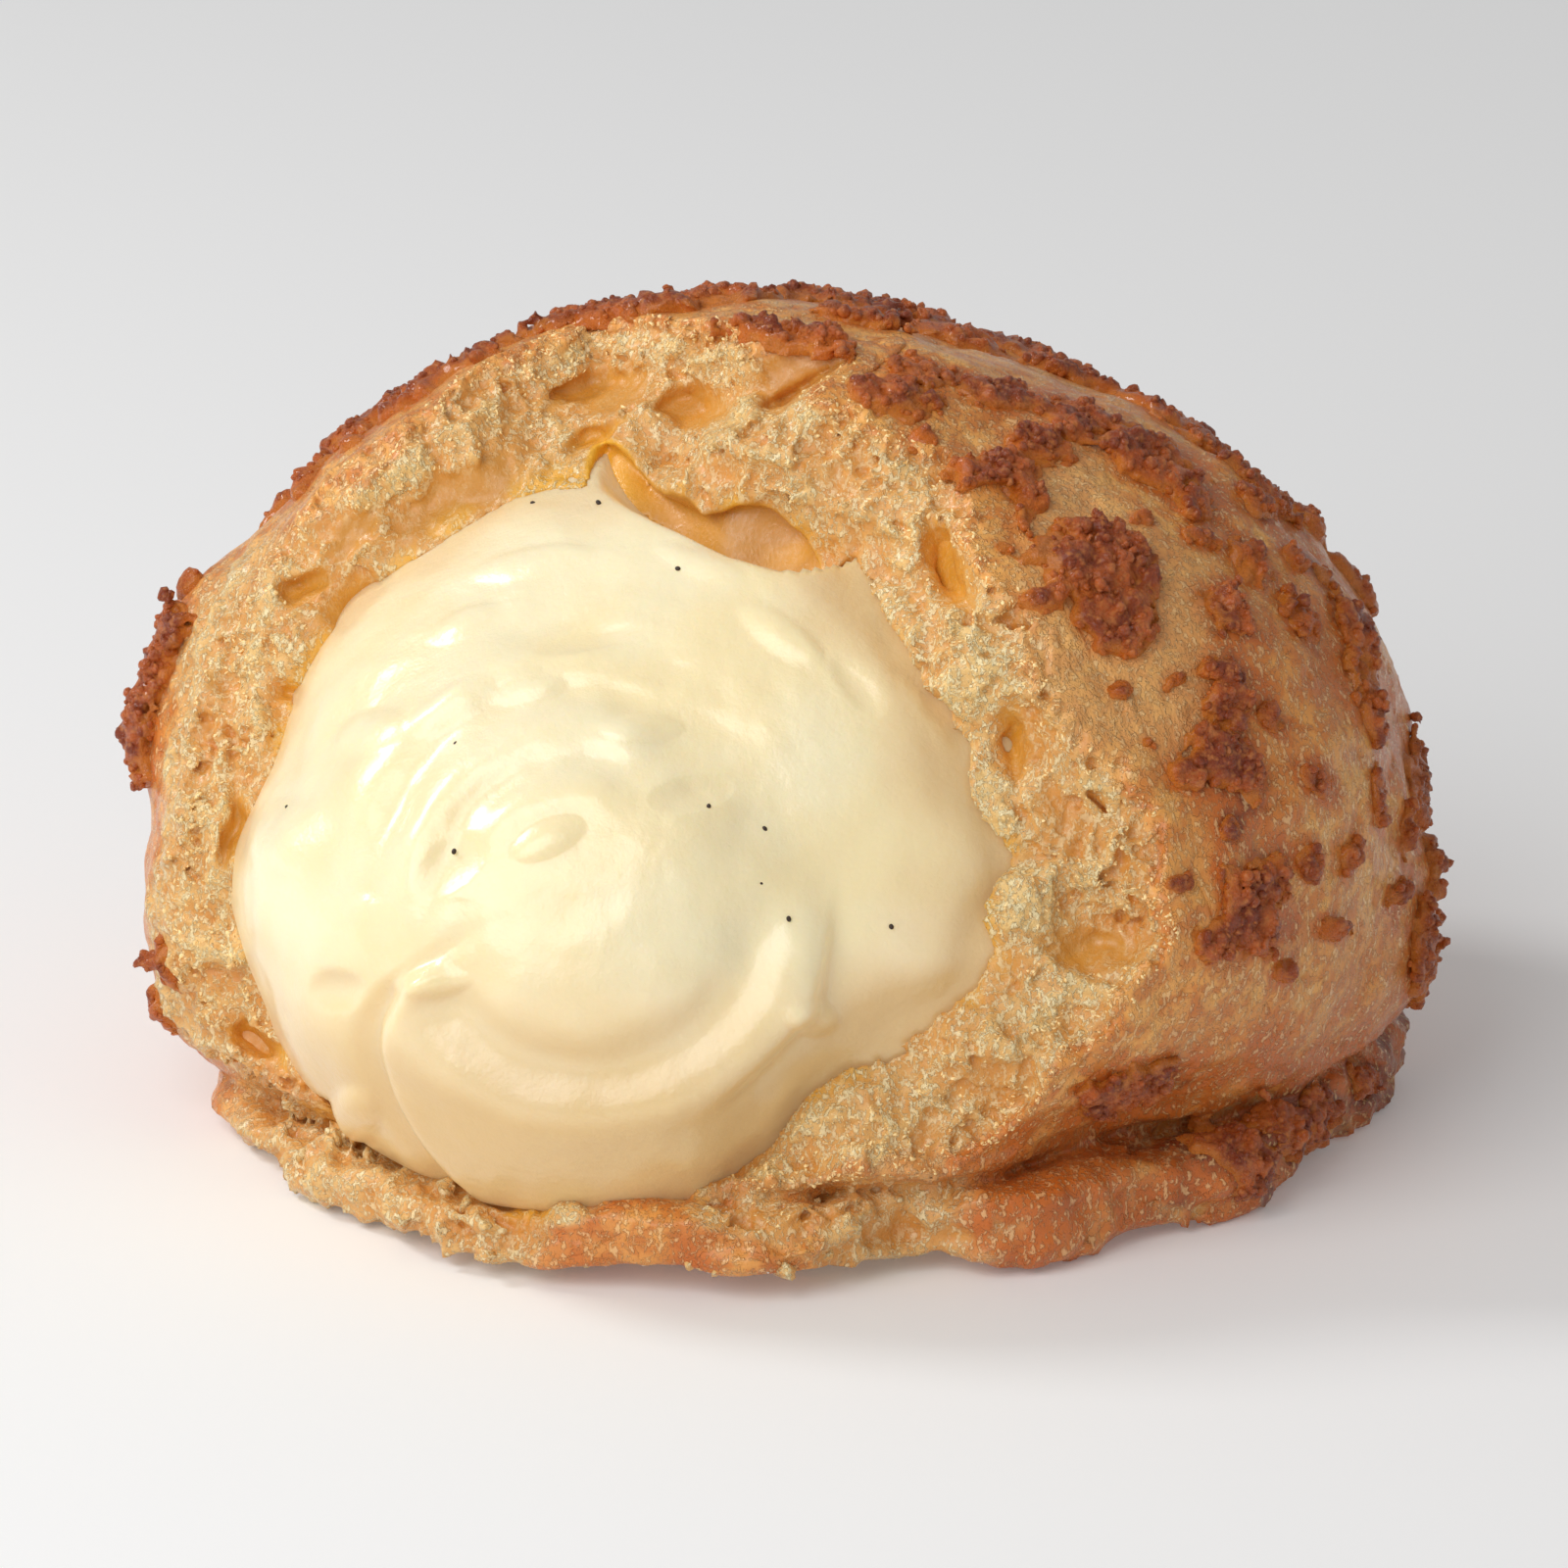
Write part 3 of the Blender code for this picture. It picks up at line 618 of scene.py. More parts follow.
def outer_relief(points):
    """Height of the crust's own lumps, wrinkles and pores over the plain shell."""
    warped = points + 0.5 * noise(points, 1.7, 41)[:, None]
    height = 0.34 * noise(points, 5.2, 11) + 0.24 * noise(points, 2.3, 12)
    height = height + 0.08 * (ridges(warped * (1, 1, 1.4), 1.6, 13) - 0.5)
    pore, own = cells(warped, 1.3, 14)
    height = height - 0.22 * (1 - smooth_step(pore, 0.15, 0.5)) * (own > 0.55)
    low = 1 - smooth_step(points[:, 2], 4, 12)
    layers = 0.6 * noise(points * (0.4, 0.4, 1.5), 1.7, 15)
    crumbly = 1.5 * foam(warped, 2.6, 16) + 0.8 * foam(warped, 1.1, 17)
    right = smooth_step(points[:, 0], 8, 20)
    torn = torn_foot(points)
    bare = worn(points, TEAR.distance(points @ FACE.T))
    height = height + bare * (1.1 * foam(warped, 2.6, 16) + 0.7 * foam(warped, 1.1, 17) - 0.2)
    return height + low * (layers + (0.15 + 0.6 * right + torn) * crumbly) - 0.5 * torn


def room_distance(points):
    """How far each point is outside the custard's room in the wall."""
    return CUSTARD.distance(points, CUSTARD_CENTRE) + CUSTARD_TOUCH


def foot_plate(points):
    """1 on the foot's torn plate in front and on its left, 0 elsewhere."""
    return (1 - smooth_step(points[:, 2], 4.5, 9)) * (1 - smooth_step(points[:, 0], 8, 16))


def beside_custard(points):
    """1 where the crumb meets the custard or the air pocket, 0 from 1.6 mm away."""
    return 1 - smooth_step(np.minimum(room_distance(points), pocket_distance(points)), 0.2, 1.6)


def crumb_relief(points, face):
    """Height of the torn crumb over the plain torn face: bubbles, lumps, foam and crinkles."""
    depth, smooth, _ = bubbles(points, face)
    outside = smooth_step(outer_distance(points), -7, -2)
    warped = points + 0.75 * np.stack([noise(points, 1.9, seed) for seed in (31, 32, 33)], 1)
    crisp = 0.7 + 0.5 * noise(points, 4.5, 24) + 0.35 * outside
    height = 1.4 * foam(warped, 6.4, 21) + (0.7 + 0.4 * outside) * foam(warped, 2.8, 22)
    height = height + crisp * (0.95 * foam(warped, 1.25, 23) + 0.5 * (ridges(warped, 0.8, 25) - 0.55))
    height = height * (1 - 0.8 * smooth) * (1 - 0.4 * beside_custard(points)) - depth - 0.3
    plate = foot_plate(points)
    height = height + plate * (0.9 * foam(warped * (1, 1, 1.6), 3.4, 27) - 0.9)
    return height + raised(face[:, 0] + 0.5 * warped[:, 2] - 0.5 * points[:, 2], face[:, 1], CRUMB_LUMPS)


def lining_distance(points, before):
    """The smooth dough that closes the air pocket a little way in."""
    back = before + 1.7 + 0.3 * noise(points, 5.0, 26)
    return np.maximum(pocket_distance(points) - 0.3, back)


def hollowed(body, points, lining):
    """The body with its lining, less the air pocket, the custard's room and what is under the table."""
    body = np.maximum(body, -pocket_distance(points))
    body = np.maximum(np.minimum(body, lining), -room_distance(points))
    return np.maximum(body, -points[:, 2])


def crust_distance(points):
    """The shell behind the torn crumb, with room for the custard and the air pocket."""
    before = TEAR.distance(points @ FACE.T)
    inset = CRUST_INSET + 0.45 * smooth_step(before, -CRUMB_DEPTH + 0.4, -CRUST_START)
    outer = outer_distance(points) + inset - outer_relief(points)
    body = np.maximum(outer, before + CRUST_START)
    return hollowed(body, points, lining_distance(points, before + CRUST_START))


def crust_rough(points):
    """The same without relief, to find where the surface can be."""
    before = TEAR.distance(points @ FACE.T)
    body = np.maximum(outer_distance(points) + CRUST_INSET, before + CRUST_START)
    return hollowed(body, points, lining_distance(points, before + CRUST_START))


def crumb_distance(points):
    """The slab of torn crumb, ragged at its outer edge."""
    face = points @ FACE.T
    before = TEAR.distance(face)
    inset = CRUST_INSET + 0.5 * smooth_step(-before, CRUMB_DEPTH - 1.0, CRUMB_DEPTH)
    outer = outer_distance(points) + inset - outer_relief(points)
    torn = before - crumb_relief(points, face)
    body = smooth_max(outer, torn, 0.15)
    body = np.maximum(body, -before - CRUMB_DEPTH)
    body = np.maximum(body, -room_distance(points))
    body = smooth_max(body, -pocket_distance(points), 0.5)
    body = np.minimum(body, np.maximum(lining_distance(points, before), -before - CRUMB_DEPTH))
    ragged = 0.8 * noise(points, 1.9, 29) + 0.5 * noise(points, 0.8, 30)
    body = np.maximum(body, -room_distance(points) - np.clip(ragged, 0, 0.8))
    return np.maximum(body, -points[:, 2])


def crumb_rough(points):
    """The same without relief, to find where the surface can be."""
    before = TEAR.distance(points @ FACE.T)
    slab = np.abs(before + CRUMB_DEPTH / 2) - CRUMB_DEPTH / 2
    body = np.maximum(outer_distance(points) + CRUST_INSET, slab)
    return hollowed(body, points, np.maximum(lining_distance(points, before), -before - CRUMB_DEPTH))


# ---------------------------------------------------------------- cookie clusters


def surface_point(u, v):
    """The point of the plain shell that the mouth's side shows at u, v."""
    w = np.arange(46.0, -30.0, -0.1)
    points = u * FACE_U + v * FACE_V + w[:, None] * FACE_W
    inside = np.flatnonzero(outer_distance(points) < 0)
    return points[inside[0]] if len(inside) else None


def outward(points):
    """The plain shell's outward directions at the points."""
    step = 0.3
    slopes = [
        outer_distance(points + step * axis) - outer_distance(points - step * axis) for axis in np.eye(3)
    ]
    slopes = np.stack(slopes, 1)
    return slopes / np.linalg.norm(slopes, axis=1, keepdims=True)


class Cluster:
    """A patch of cookie on the crust: an ellipse in the plane that touches the crust there."""

    def __init__(self, point, half_across, half_up, turn, thickness):
        normal = outward(point[None])[0]
        across = np.cross(FACE_V if abs(normal @ FACE_V) < 0.9 else FACE_W, normal)
        across /= np.linalg.norm(across)
        up = np.cross(normal, across)
        c, s = math.cos(math.radians(turn)), math.sin(math.radians(turn))
        self.point = point
        self.axes = np.array([across * c + up * s, up * c - across * s, normal])
        self.halves = np.array([half_across, half_up, 4.0])
        self.thickness = thickness

    def inside(self, points):
        """1 in the middle, 0 at the rim, and less outside."""
        away = ((points - self.point) @ self.axes.T) / self.halves
        return 1 - np.sqrt((away * away).sum(1))


def shown_clusters():
    found = []
    for u, v, half_u, half_v, turn, thickness in COOKIES + TOP_COOKIES:
        point = surface_point(u, v)
        while point is None:
            u, v = u * 0.99, 17 + (v - 17) * 0.99
            point = surface_point(u, v)
        found.append(Cluster(point, half_u, half_v, turn, thickness))
    return found


def hidden_clusters():
    """Clusters on the sides that the mouth's side doesn't show, spread evenly and then shifted."""
    numbers = np.random.default_rng(11)
    found = []
    for i in range(HIDDEN_PLACES):
        height = 1 - 1.25 * (i + 0.5) / HIDDEN_PLACES
        azimuth = GOLDEN_ANGLE * i + numbers.normal(0, 0.12)
        level = math.sqrt(1 - height ** 2)
        d = np.array([level * math.cos(azimuth), level * math.sin(azimuth), height])
        spread, half, turn, thick = numbers.random(4)
        point = DOME_CENTRE + d * dome_radius(d[None])[0]
        chance = 0.5 + 0.4 * height
        if d @ FACE_W > 0.1 or spread > chance or point[2] < 5:
            continue
        long = 1.6 + 3.4 * half ** 1.5
        short = long * (0.5 + 0.4 * spread / chance)
        found.append(Cluster(point, long, short, 180 * turn, 0.7 + 0.8 * thick))
    return found


def cookie_height(points, clusters):
    """Thickness of the cookie over the crust, negative where there is none, and how far inside a cluster."""
    ragged = 0.55 * noise(points, 2.4, 51) + 0.32 * noise(points, 1.0, 52)
    inside = np.full(len(points), -9.0)
    thickness = np.zeros(len(points))
    for cluster in clusters:
        near = np.flatnonzero(((points - cluster.point) ** 2).sum(1) < (2.2 * cluster.halves.max()) ** 2)
        if not len(near):
            continue
        here = cluster.inside(points[near])
        better = here > inside[near]
        inside[near] = np.where(better, here, inside[near])
        thickness[near] = np.where(better, cluster.thickness, thickness[near])
    coarse, own = cells(points, 1.2, 53)
    inside = inside + ragged + 0.5 * (own - 0.5)
    rise = np.sqrt(np.clip(1 - (1 - np.clip(inside * 1.6, 0, 1)) ** 2, 0, 1))
    fine, _ = cells(points, 0.62, 54)
    lumps = (0.7 + 0.6 * own) * (0.5 - coarse ** 1.6) + 0.42 * (0.5 - fine ** 1.5)
    height = rise * (0.55 * thickness + lumps) - 0.1
    return np.where(inside > 0, height, -0.9), inside


def cookie_distance(points, clusters):
    height, _ = cookie_height(points, clusters)
    outer = outer_distance(points) + CRUST_INSET - outer_relief(points)
    body = np.maximum(outer - height, -outer - 0.7)
    ragged = 0.7 * noise(points, 0.9, 55) + 0.6 * noise(points, 2.2, 56)
    body = np.maximum(body, TEAR.distance(points @ FACE.T) - 0.2 + ragged)
    return np.maximum(body, 0.05 - points[:, 2])


# ---------------------------------------------------------------- solids to meshes


def finer(samples, times, shape):
    """The samples, interpolated onto a grid that is that many times finer."""
    for axis in range(3):
        where = np.arange(shape[axis]) / times
        first = np.minimum(where.astype(np.int64), samples.shape[axis] - 2)
        part = (where - first).astype(np.float32)
        part = part.reshape([-1 if other == axis else 1 for other in range(3)])
        samples = np.take(samples, first, axis) * (1 - part) + np.take(samples, first + 1, axis) * part
    return samples


def evaluated(distance, points):
    """The distances, worked out in lots to save memory."""
    lots = np.array_split(points, max(1, len(points) // 200_000))
    return np.concatenate([distance(lot) for lot in lots]).astype(np.float32)


def grid_points(indices, shape, low, cell):
    return low + cell * np.stack(np.unravel_index(indices, shape), 1)


def surface_of(rough, exact, low, high, cell, band):
    """Points and triangles where exact is 0. rough, a plainer shape, says where that can be."""
    times = 4
    wide = np.ceil((high - low) / (cell * times)).astype(int) + 2
    coarse = evaluated(rough, grid_points(np.arange(wide.prod()), wide, low, cell * times))
    shape = tuple((wide - 1) * times + 1)
    samples = finer(coarse.reshape(wide), times, shape)
    near = np.flatnonzero(np.abs(samples) < band)
    samples = np.clip(samples, -band, band)
    samples.reshape(-1)[near] = evaluated(exact, grid_points(near, shape, low, cell))
    samples[[0, -1]] = samples[:, [0, -1]] = samples[:, :, [0, -1]] = band
    grid = openvdb.FloatGrid(band)
    grid.copyFromArray(samples)
    points, triangles, quads = grid.convertToPolygons(isovalue=0.0, adaptivity=0.0)
    quads = quads[:, ::-1]
    triangles = np.concatenate([triangles[:, ::-1], quads[:, [0, 1, 2]], quads[:, [0, 2, 3]]])
    return points * cell + low, triangles


def without_bits(points, triangles, least):
    """The mesh without its loose bodies of fewer points than least."""
    body = np.arange(len(points))
    while True:
        lowest = body[triangles].min(1)
        joined = body.copy()
        np.minimum.at(joined, triangles.reshape(-1), np.repeat(lowest, 3))
        joined = joined[joined]
        if (joined == body).all():
            break
        body = joined
    count = np.bincount(body, minlength=len(points))
    kept = count[body] >= least
    place = np.cumsum(kept) - 1
    return points[kept], place[triangles[kept[triangles[:, 0]]]]


def mesh_of(name, points, triangles):
    """A mesh of points in design millimetres."""
    mesh = bpy.data.meshes.new(name)
    mesh.vertices.add(len(points))
    mesh.vertices.foreach_set("co", (points * MM).astype(np.float32).reshape(-1))
    mesh.loops.add(len(triangles) * 3)
    mesh.loops.foreach_set("vertex_index", triangles.astype(np.int32).reshape(-1))
    mesh.polygons.add(len(triangles))
    mesh.polygons.foreach_set("loop_start", np.arange(0, len(triangles) * 3, 3, dtype=np.int32))
    mesh.update(calc_edges=True)
    mesh.shade_smooth()
    return mesh


def piece_of(mesh, material, slot, *replaced):
    """An object that rides with the puff."""
    thing = bpy.data.objects.new(mesh.name, mesh)
    bpy.context.scene.collection.objects.link(thing)
    mesh.materials.append(material)
    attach(thing, "root")
    if replaced:
        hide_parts(*replaced)
    return thing


def thinned(mesh):
    """The mesh with at most MOST_TRIANGLES, where flat places lose theirs first."""
    if len(mesh.polygons) <= MOST_TRIANGLES:
        return mesh
    thing = bpy.data.objects.new(mesh.name, mesh)
    bpy.context.scene.collection.objects.link(thing)
    fewer = thing.modifiers.new("fewer", 'DECIMATE')
    fewer.ratio = MOST_TRIANGLES / len(mesh.polygons)
    graph = bpy.context.evaluated_depsgraph_get()
    name = mesh.name
    made = bpy.data.meshes.new_from_object(thing.evaluated_get(graph))
    bpy.data.objects.remove(thing)
    bpy.data.meshes.remove(mesh)
    made.name = name
    return made


def points_of(mesh):
    """The mesh's points in design millimetres."""
    flat = np.empty(len(mesh.vertices) * 3, np.float32)
    mesh.vertices.foreach_get("co", flat)
    return flat.reshape(-1, 3).astype(np.float64) / MM


def note(mesh, **named):
    """Stores numbers for each point, or one for all, under names that the material reads."""
    for name, values in named.items():
        stored = np.broadcast_to(values, len(mesh.vertices)).astype(np.float32)
        mesh.attributes.new(name, 'FLOAT', 'POINT').data.foreach_set("value", stored)


# ---------------------------------------------------------------- materials

# Where Blender's Mix node keeps its factor and its two colours, and the mixed colour.
MIX_INPUTS = (0, 6, 7)
MIX_OUTPUT = 2


def add(tree, kind, inputs=None, **settings):
    """A node with these settings. Each input is a number, a colour or another node's socket."""
    node = tree.nodes.new(kind)
    for setting, value in settings.items():
        setattr(node, setting, value)
    for name, value in (inputs or {}).items():
        put(tree, node.inputs[name], value)
    return node


def put(tree, socket, value):
    """Gives the socket its value: another node's socket is linked to it, anything else is set."""
    if isinstance(value, bpy.types.NodeSocket):
        tree.links.new(value, socket)
    else:
        socket.default_value = value


def new_material(name, **shader_inputs):
    """(material, tree, shader): a new material whose shader has these even values."""
    made = bpy.data.materials.new(name)
    made.use_nodes = True
    shader = made.node_tree.nodes["Principled BSDF"]
    for key, value in shader_inputs.items():
        shader.inputs[key.replace("_", " ")].default_value = value
    return made, made.node_tree, shader


def linear(red, green, blue):
    """A colour as it is seen, 0 to 255 and above 10, in the shader's linear numbers."""
    return tuple(((seen / 255 + 0.055) / 1.055) ** 2.4 for seen in (red, green, blue)) + (1.0,)


def attribute(tree, name):
    return add(tree, "ShaderNodeAttribute", attribute_name=name).outputs["Fac"]


def grain(tree, size, detail=3.0, stretch=(1, 1, 1), roughness=0.55):
    """Noise from 0 to 1 with lumps of about that many millimetres."""
    place = add(tree, "ShaderNodeTexCoord").outputs["Object"]
    if stretch != (1, 1, 1):
        place = add(tree, "ShaderNodeMapping", {"Vector": place, "Scale": stretch}).outputs["Vector"]
    texture = add(
        tree, "ShaderNodeTexNoise",
        {"Vector": place, "Scale": 1 / (size * MM), "Detail": detail, "Roughness": roughness},
    )
    return texture.outputs["Fac"]


def ramp(tree, value, low, high, start=0.0, end=1.0):
    """The value's way from low to high, as a number from start to end."""
    inputs = {"Value": value, "From Min": low, "From Max": high, "To Min": start, "To Max": end}
    return add(tree, "ShaderNodeMapRange", inputs, interpolation_type='SMOOTHSTEP').outputs["Result"]


def mixed(tree, share, one, other):
    """The colours one and other, mixed. share is how much of the other."""
    node = add(tree, "ShaderNodeMix", data_type='RGBA')
    for place, value in zip(MIX_INPUTS, (share, one, other)):
        put(tree, node.inputs[place], value)
    return node.outputs[MIX_OUTPUT]


def layered(tree, colour, *layers):
    """The colour under layers of (share, red, green, blue), each over the one before."""
    for share, *tint in layers:
        colour = mixed(tree, share, colour, linear(*tint))
    return colour


def calculated(tree, operation, one, other=0.0):
    node = add(tree, "ShaderNodeMath", operation=operation)
    for socket, value in zip(node.inputs, (one, other)):
        put(tree, socket, value)
    return node.outputs[0]


def product(tree, one, other):
    return calculated(tree, 'MULTIPLY', one, other)


def web(tree, size, width):
    """1 on thin crooked walls round bubbles of about that many millimetres, 0 inside them."""
    off = calculated(tree, 'SUBTRACT', grain(tree, size, detail=2), 0.5)
    return ramp(tree, calculated(tree, 'ABSOLUTE', off), 0.0, width, 1.0, 0.0)


def bumped(tree, shader, *heights):
    """Bumps of (height socket, depth in millimetres), one over the other."""
    normal = None
    for height, depth in heights:
        inputs = {"Height": height, "Distance": depth * MM, "Strength": 1.0}
        if normal:
            inputs["Normal"] = normal
        normal = add(tree, "ShaderNodeBump", inputs).outputs["Normal"]
    tree.links.new(normal, shader.inputs["Normal"])


def shell_material():
    """Crust and crumb, as the mesh's numbers say: 'skin' is 1 on the crust and 0 on the crumb, 'deep'
    grows in pores and hollows, which get painted shade, 'toast' darkens the crust where it is baked
    browner and as painted shade on its right, 'amber' colours moist crumb beside the custard and the air
    pocket's ends and is painted light in the crumb's bubbles, 'plain' is 1 where the crumb is smooth, and
    'film' is 1 where the crust is a thin crinkled film. Pale specks on the crumb's raised parts are partly
    painted highlights."""
    made, tree, shader = new_material(
        "baked_shell",
        Specular_IOR_Level=0.5,
        Coat_Weight=0.25,
        Coat_Roughness=0.2,
    )
    names = ("skin", "deep", "toast", "amber", "film", "plain")
    skin, deep, toast, amber, thin, plain = (attribute(tree, name) for name in names)
    coarse, middle = grain(tree, 5.0), grain(tree, 1.4)
    fine = grain(tree, 0.36, detail=3, stretch=(1, 1, 0.6), roughness=0.65)
    rough_part = calculated(tree, 'SUBTRACT', 1.0, plain)
    raised_part = product(tree, ramp(tree, deep, 1.7, 0.1, 0.25, 1.0), rough_part)
    threads = product(tree, web(tree, 0.7, 0.045), ramp(tree, grain(tree, 1.0), 0.42, 0.6, 0.15, 1.0))
    # Pale specks of fibre, laid mostly on the crumb's raised parts, where they are also painted highlights.
    flecks_and_highlights = calculated(tree, 'MAXIMUM', threads, ramp(tree, fine, 0.5, 0.6, 0, 0.9))
    flecks_and_highlights = product(tree, flecks_and_highlights, raised_part)

    crumb = layered(
        tree, linear(248, 206, 132),
        # Painted shade: darker and more amber where the crumb lies deep in a hollow.
        (ramp(tree, deep, -0.2, 1.3), 224, 156, 72),
        (ramp(tree, deep, 1.0, 2.6), 216, 128, 30),
        (ramp(tree, middle, 0.44, 0.6, 0, 0.6), 222, 148, 62),
        (plain, 208, 148, 64),
        # Amber: moist beside the custard, and painted light in the bubbles.
        (amber, 244, 180, 48),
        (flecks_and_highlights, 255, 236, 184),
    )
    crust = layered(
        tree, linear(246, 178, 92),
        (ramp(tree, coarse, 0.35, 0.65), 234, 156, 72),
        (ramp(tree, middle, 0.42, 0.6, 0, 0.8), 210, 120, 44),
        # Browner baking, and painted shade on the right.
        (ramp(tree, toast, 0.0, 1.0), 208, 110, 36),
        (ramp(tree, toast, 1.0, 2.0), 140, 66, 26),
        # Painted shade: darker in the crust's pores.
        (ramp(tree, deep, 0.2, 0.9, 0, 0.45), 190, 102, 36),
        (product(tree, thin, 0.5), 246, 190, 116),
        (ramp(tree, fine, 0.5, 0.66, 0, 0.5), 253, 216, 154),
    )
    tree.links.new(mixed(tree, skin, crumb, crust), shader.inputs["Base Color"])
    tree.links.new(ramp(tree, fine, 0.35, 0.65, 0.5, 0.22), shader.inputs["Roughness"])

    bare = product(tree, raised_part, ramp(tree, skin, 0.2, 0.9, 1.0, 0.12))
    flaky = product(tree, grain(tree, 0.8, detail=5, stretch=(1, 1, 1.4), roughness=0.7), bare)
    folds = product(tree, grain(tree, 1.4, stretch=(1.6, 1.6, 0.6)), thin)
    bumped(tree, shader, (flaky, 0.24), (flecks_and_highlights, 0.06), (fine, 0.07), (folds, 0.3))
    return made


def cookie_material():
    """Cookie, as the mesh's numbers say: 'height' over the crust, and 'edge' that is 0 at a rim."""
    made, tree, shader = new_material(
        "cookie",
        Specular_IOR_Level=0.5,
        Coat_Weight=0.3,
        Coat_Roughness=0.1,
    )
    height, edge = attribute(tree, "height"), attribute(tree, "edge")
    coarse, fine = grain(tree, 2.6), grain(tree, 0.45, detail=3)
    colour = layered(
        tree, linear(150, 60, 18),
        (ramp(tree, coarse, 0.35, 0.65), 214, 106, 38),
        # Lighter specks: sugar grains, and partly painted sparkle.
        (ramp(tree, fine, 0.48, 0.7, 0, 0.6), 234, 146, 74),
        (ramp(tree, height, 0.8, 0.1, 0, 0.9), 226, 118, 24),
        (ramp(tree, edge, 0.3, 0.0, 0, 0.6), 230, 140, 44),
    )
    tree.links.new(colour, shader.inputs["Base Color"])
    tree.links.new(ramp(tree, fine, 0.35, 0.7, 0.2, 0.5), shader.inputs["Roughness"])
    bumped(tree, shader, (grain(tree, 0.4, detail=5, roughness=0.75), 0.4))
    return made


def custard_material():
    """Custard, golden as painted shade where the mesh's number for it says so, with a faint painted glow."""
    made, tree, shader = new_material(
        "custard",
        Roughness=0.3,
        Subsurface_Weight=0.5,
        Subsurface_Radius=(1.0, 0.8, 0.5),
        Subsurface_Scale=2.0 * MM,
        Specular_IOR_Level=0.5,
        Coat_Weight=0.6,
        Coat_Roughness=0.2,
        # A faint warm painted glow, standing in for light that passes through the custard.
        Emission_Color=linear(255, 232, 176),
        Emission_Strength=0.09,
    )
    colour = layered(
        tree, linear(252, 236, 198),
        (ramp(tree, grain(tree, 9.0, detail=2), 0.35, 0.65), 249, 229, 182),
        # painted shade: golden where the custard faces down, lies low or meets the crumb
        (attribute(tree, "rich"), 220, 184, 126),
    )
    tree.links.new(colour, shader.inputs["Base Color"])
    bumped(tree, shader, (grain(tree, 1.1, detail=3), 0.10), (grain(tree, 0.3, detail=2), 0.025))
    return made


def plain_material(name, colour, roughness, **shader_inputs):
    """One colour with slightly darker patches."""
    made, tree, shader = new_material(name, Roughness=roughness, **shader_inputs)
    darker = tuple(0.85 * part for part in colour[:3]) + (1.0,)
    shade = mixed(tree, ramp(tree, grain(tree, 1.2), 0.35, 0.65), colour, darker)
    tree.links.new(shade, shader.inputs["Base Color"])
    return made


# ---------------------------------------------------------------- pieces


def toast_of(points, clusters):
    """How dark the crust is: 0 pale, 1 brown, 2 dark. Mostly from browner baking; on the right, and most low
    down on the right, painted shade.
    """
    face = points @ FACE.T
    toast = 0.25 + 0.5 * noise(points, 9.0, 61) + 0.6 * noise(points, 2.6, 62)
    _, inside = cookie_height(points, clusters)
    toast = toast + 0.9 * smooth_step(inside, -0.7, -0.05)
    # Painted shade: darker low down on the right, and a little over the whole right side.
    low = 1 - smooth_step(points[:, 2], 3, 16)
    right = smooth_step(face[:, 0], -2, 12)
    toast = toast + low * (0.05 + 0.75 * right)
    toast = toast + 0.15 * smooth_step(face[:, 0], 16, 30)
    pale = smooth_step(TEAR.distance(face), -6.0, -1.0) * smooth_step(points[:, 2], 12, 22)
    return toast * (1 - 0.85 * pale)


def pocket_amber(face):
    """The air pocket is amber at both ends and tan between them."""
    return 0.2 + 0.8 * np.maximum(bell(face[:, 0] + 12.0, 2.4), bell(face[:, 0] - 5.0, 2.6))


def film(face, before):
    """1 where the skin is a thin shiny crinkled film: beside the tear at the upper right."""
    across = smooth_step(face[:, 0], 13, 17) * (1 - smooth_step(face[:, 0], 25, 29))
    up = smooth_step(face[:, 1], 19, 24) * (1 - smooth_step(face[:, 1], 40, 46))
    return across * up * smooth_step(before, -11, -6)


def sampled(name, rough, exact, space, cell, band, least):
    """A mesh of the exact shape. space has the two corners between which it is sampled."""
    points, triangles = surface_of(rough, exact, *space, cell, band)
    return thinned(mesh_of(name, *without_bits(points, triangles, least)))


def make_crust(material, clusters):
    """The shell's browned outside."""
    space = (SHELL_LOW, CRUST_HIGH)
    mesh = sampled("crust", crust_rough, crust_distance, space, CRUST_CELL, CRUST_BAND, LEAST_SHELL)
    note_shell(mesh, clusters)
    return piece_of(mesh, material, "baked_crust", "choux_shell")


def make_crumb(material, clusters):
    """The shell's torn face, with the foot's torn plate."""
    space = (SHELL_LOW, CRUMB_HIGH)
    mesh = sampled("crumb", crumb_rough, crumb_distance, space, CRUMB_CELL, CRUMB_BAND, LEAST_SHELL)
    note_shell(mesh, clusters)
    return piece_of(mesh, material, "baked_crust", "choux_shell")


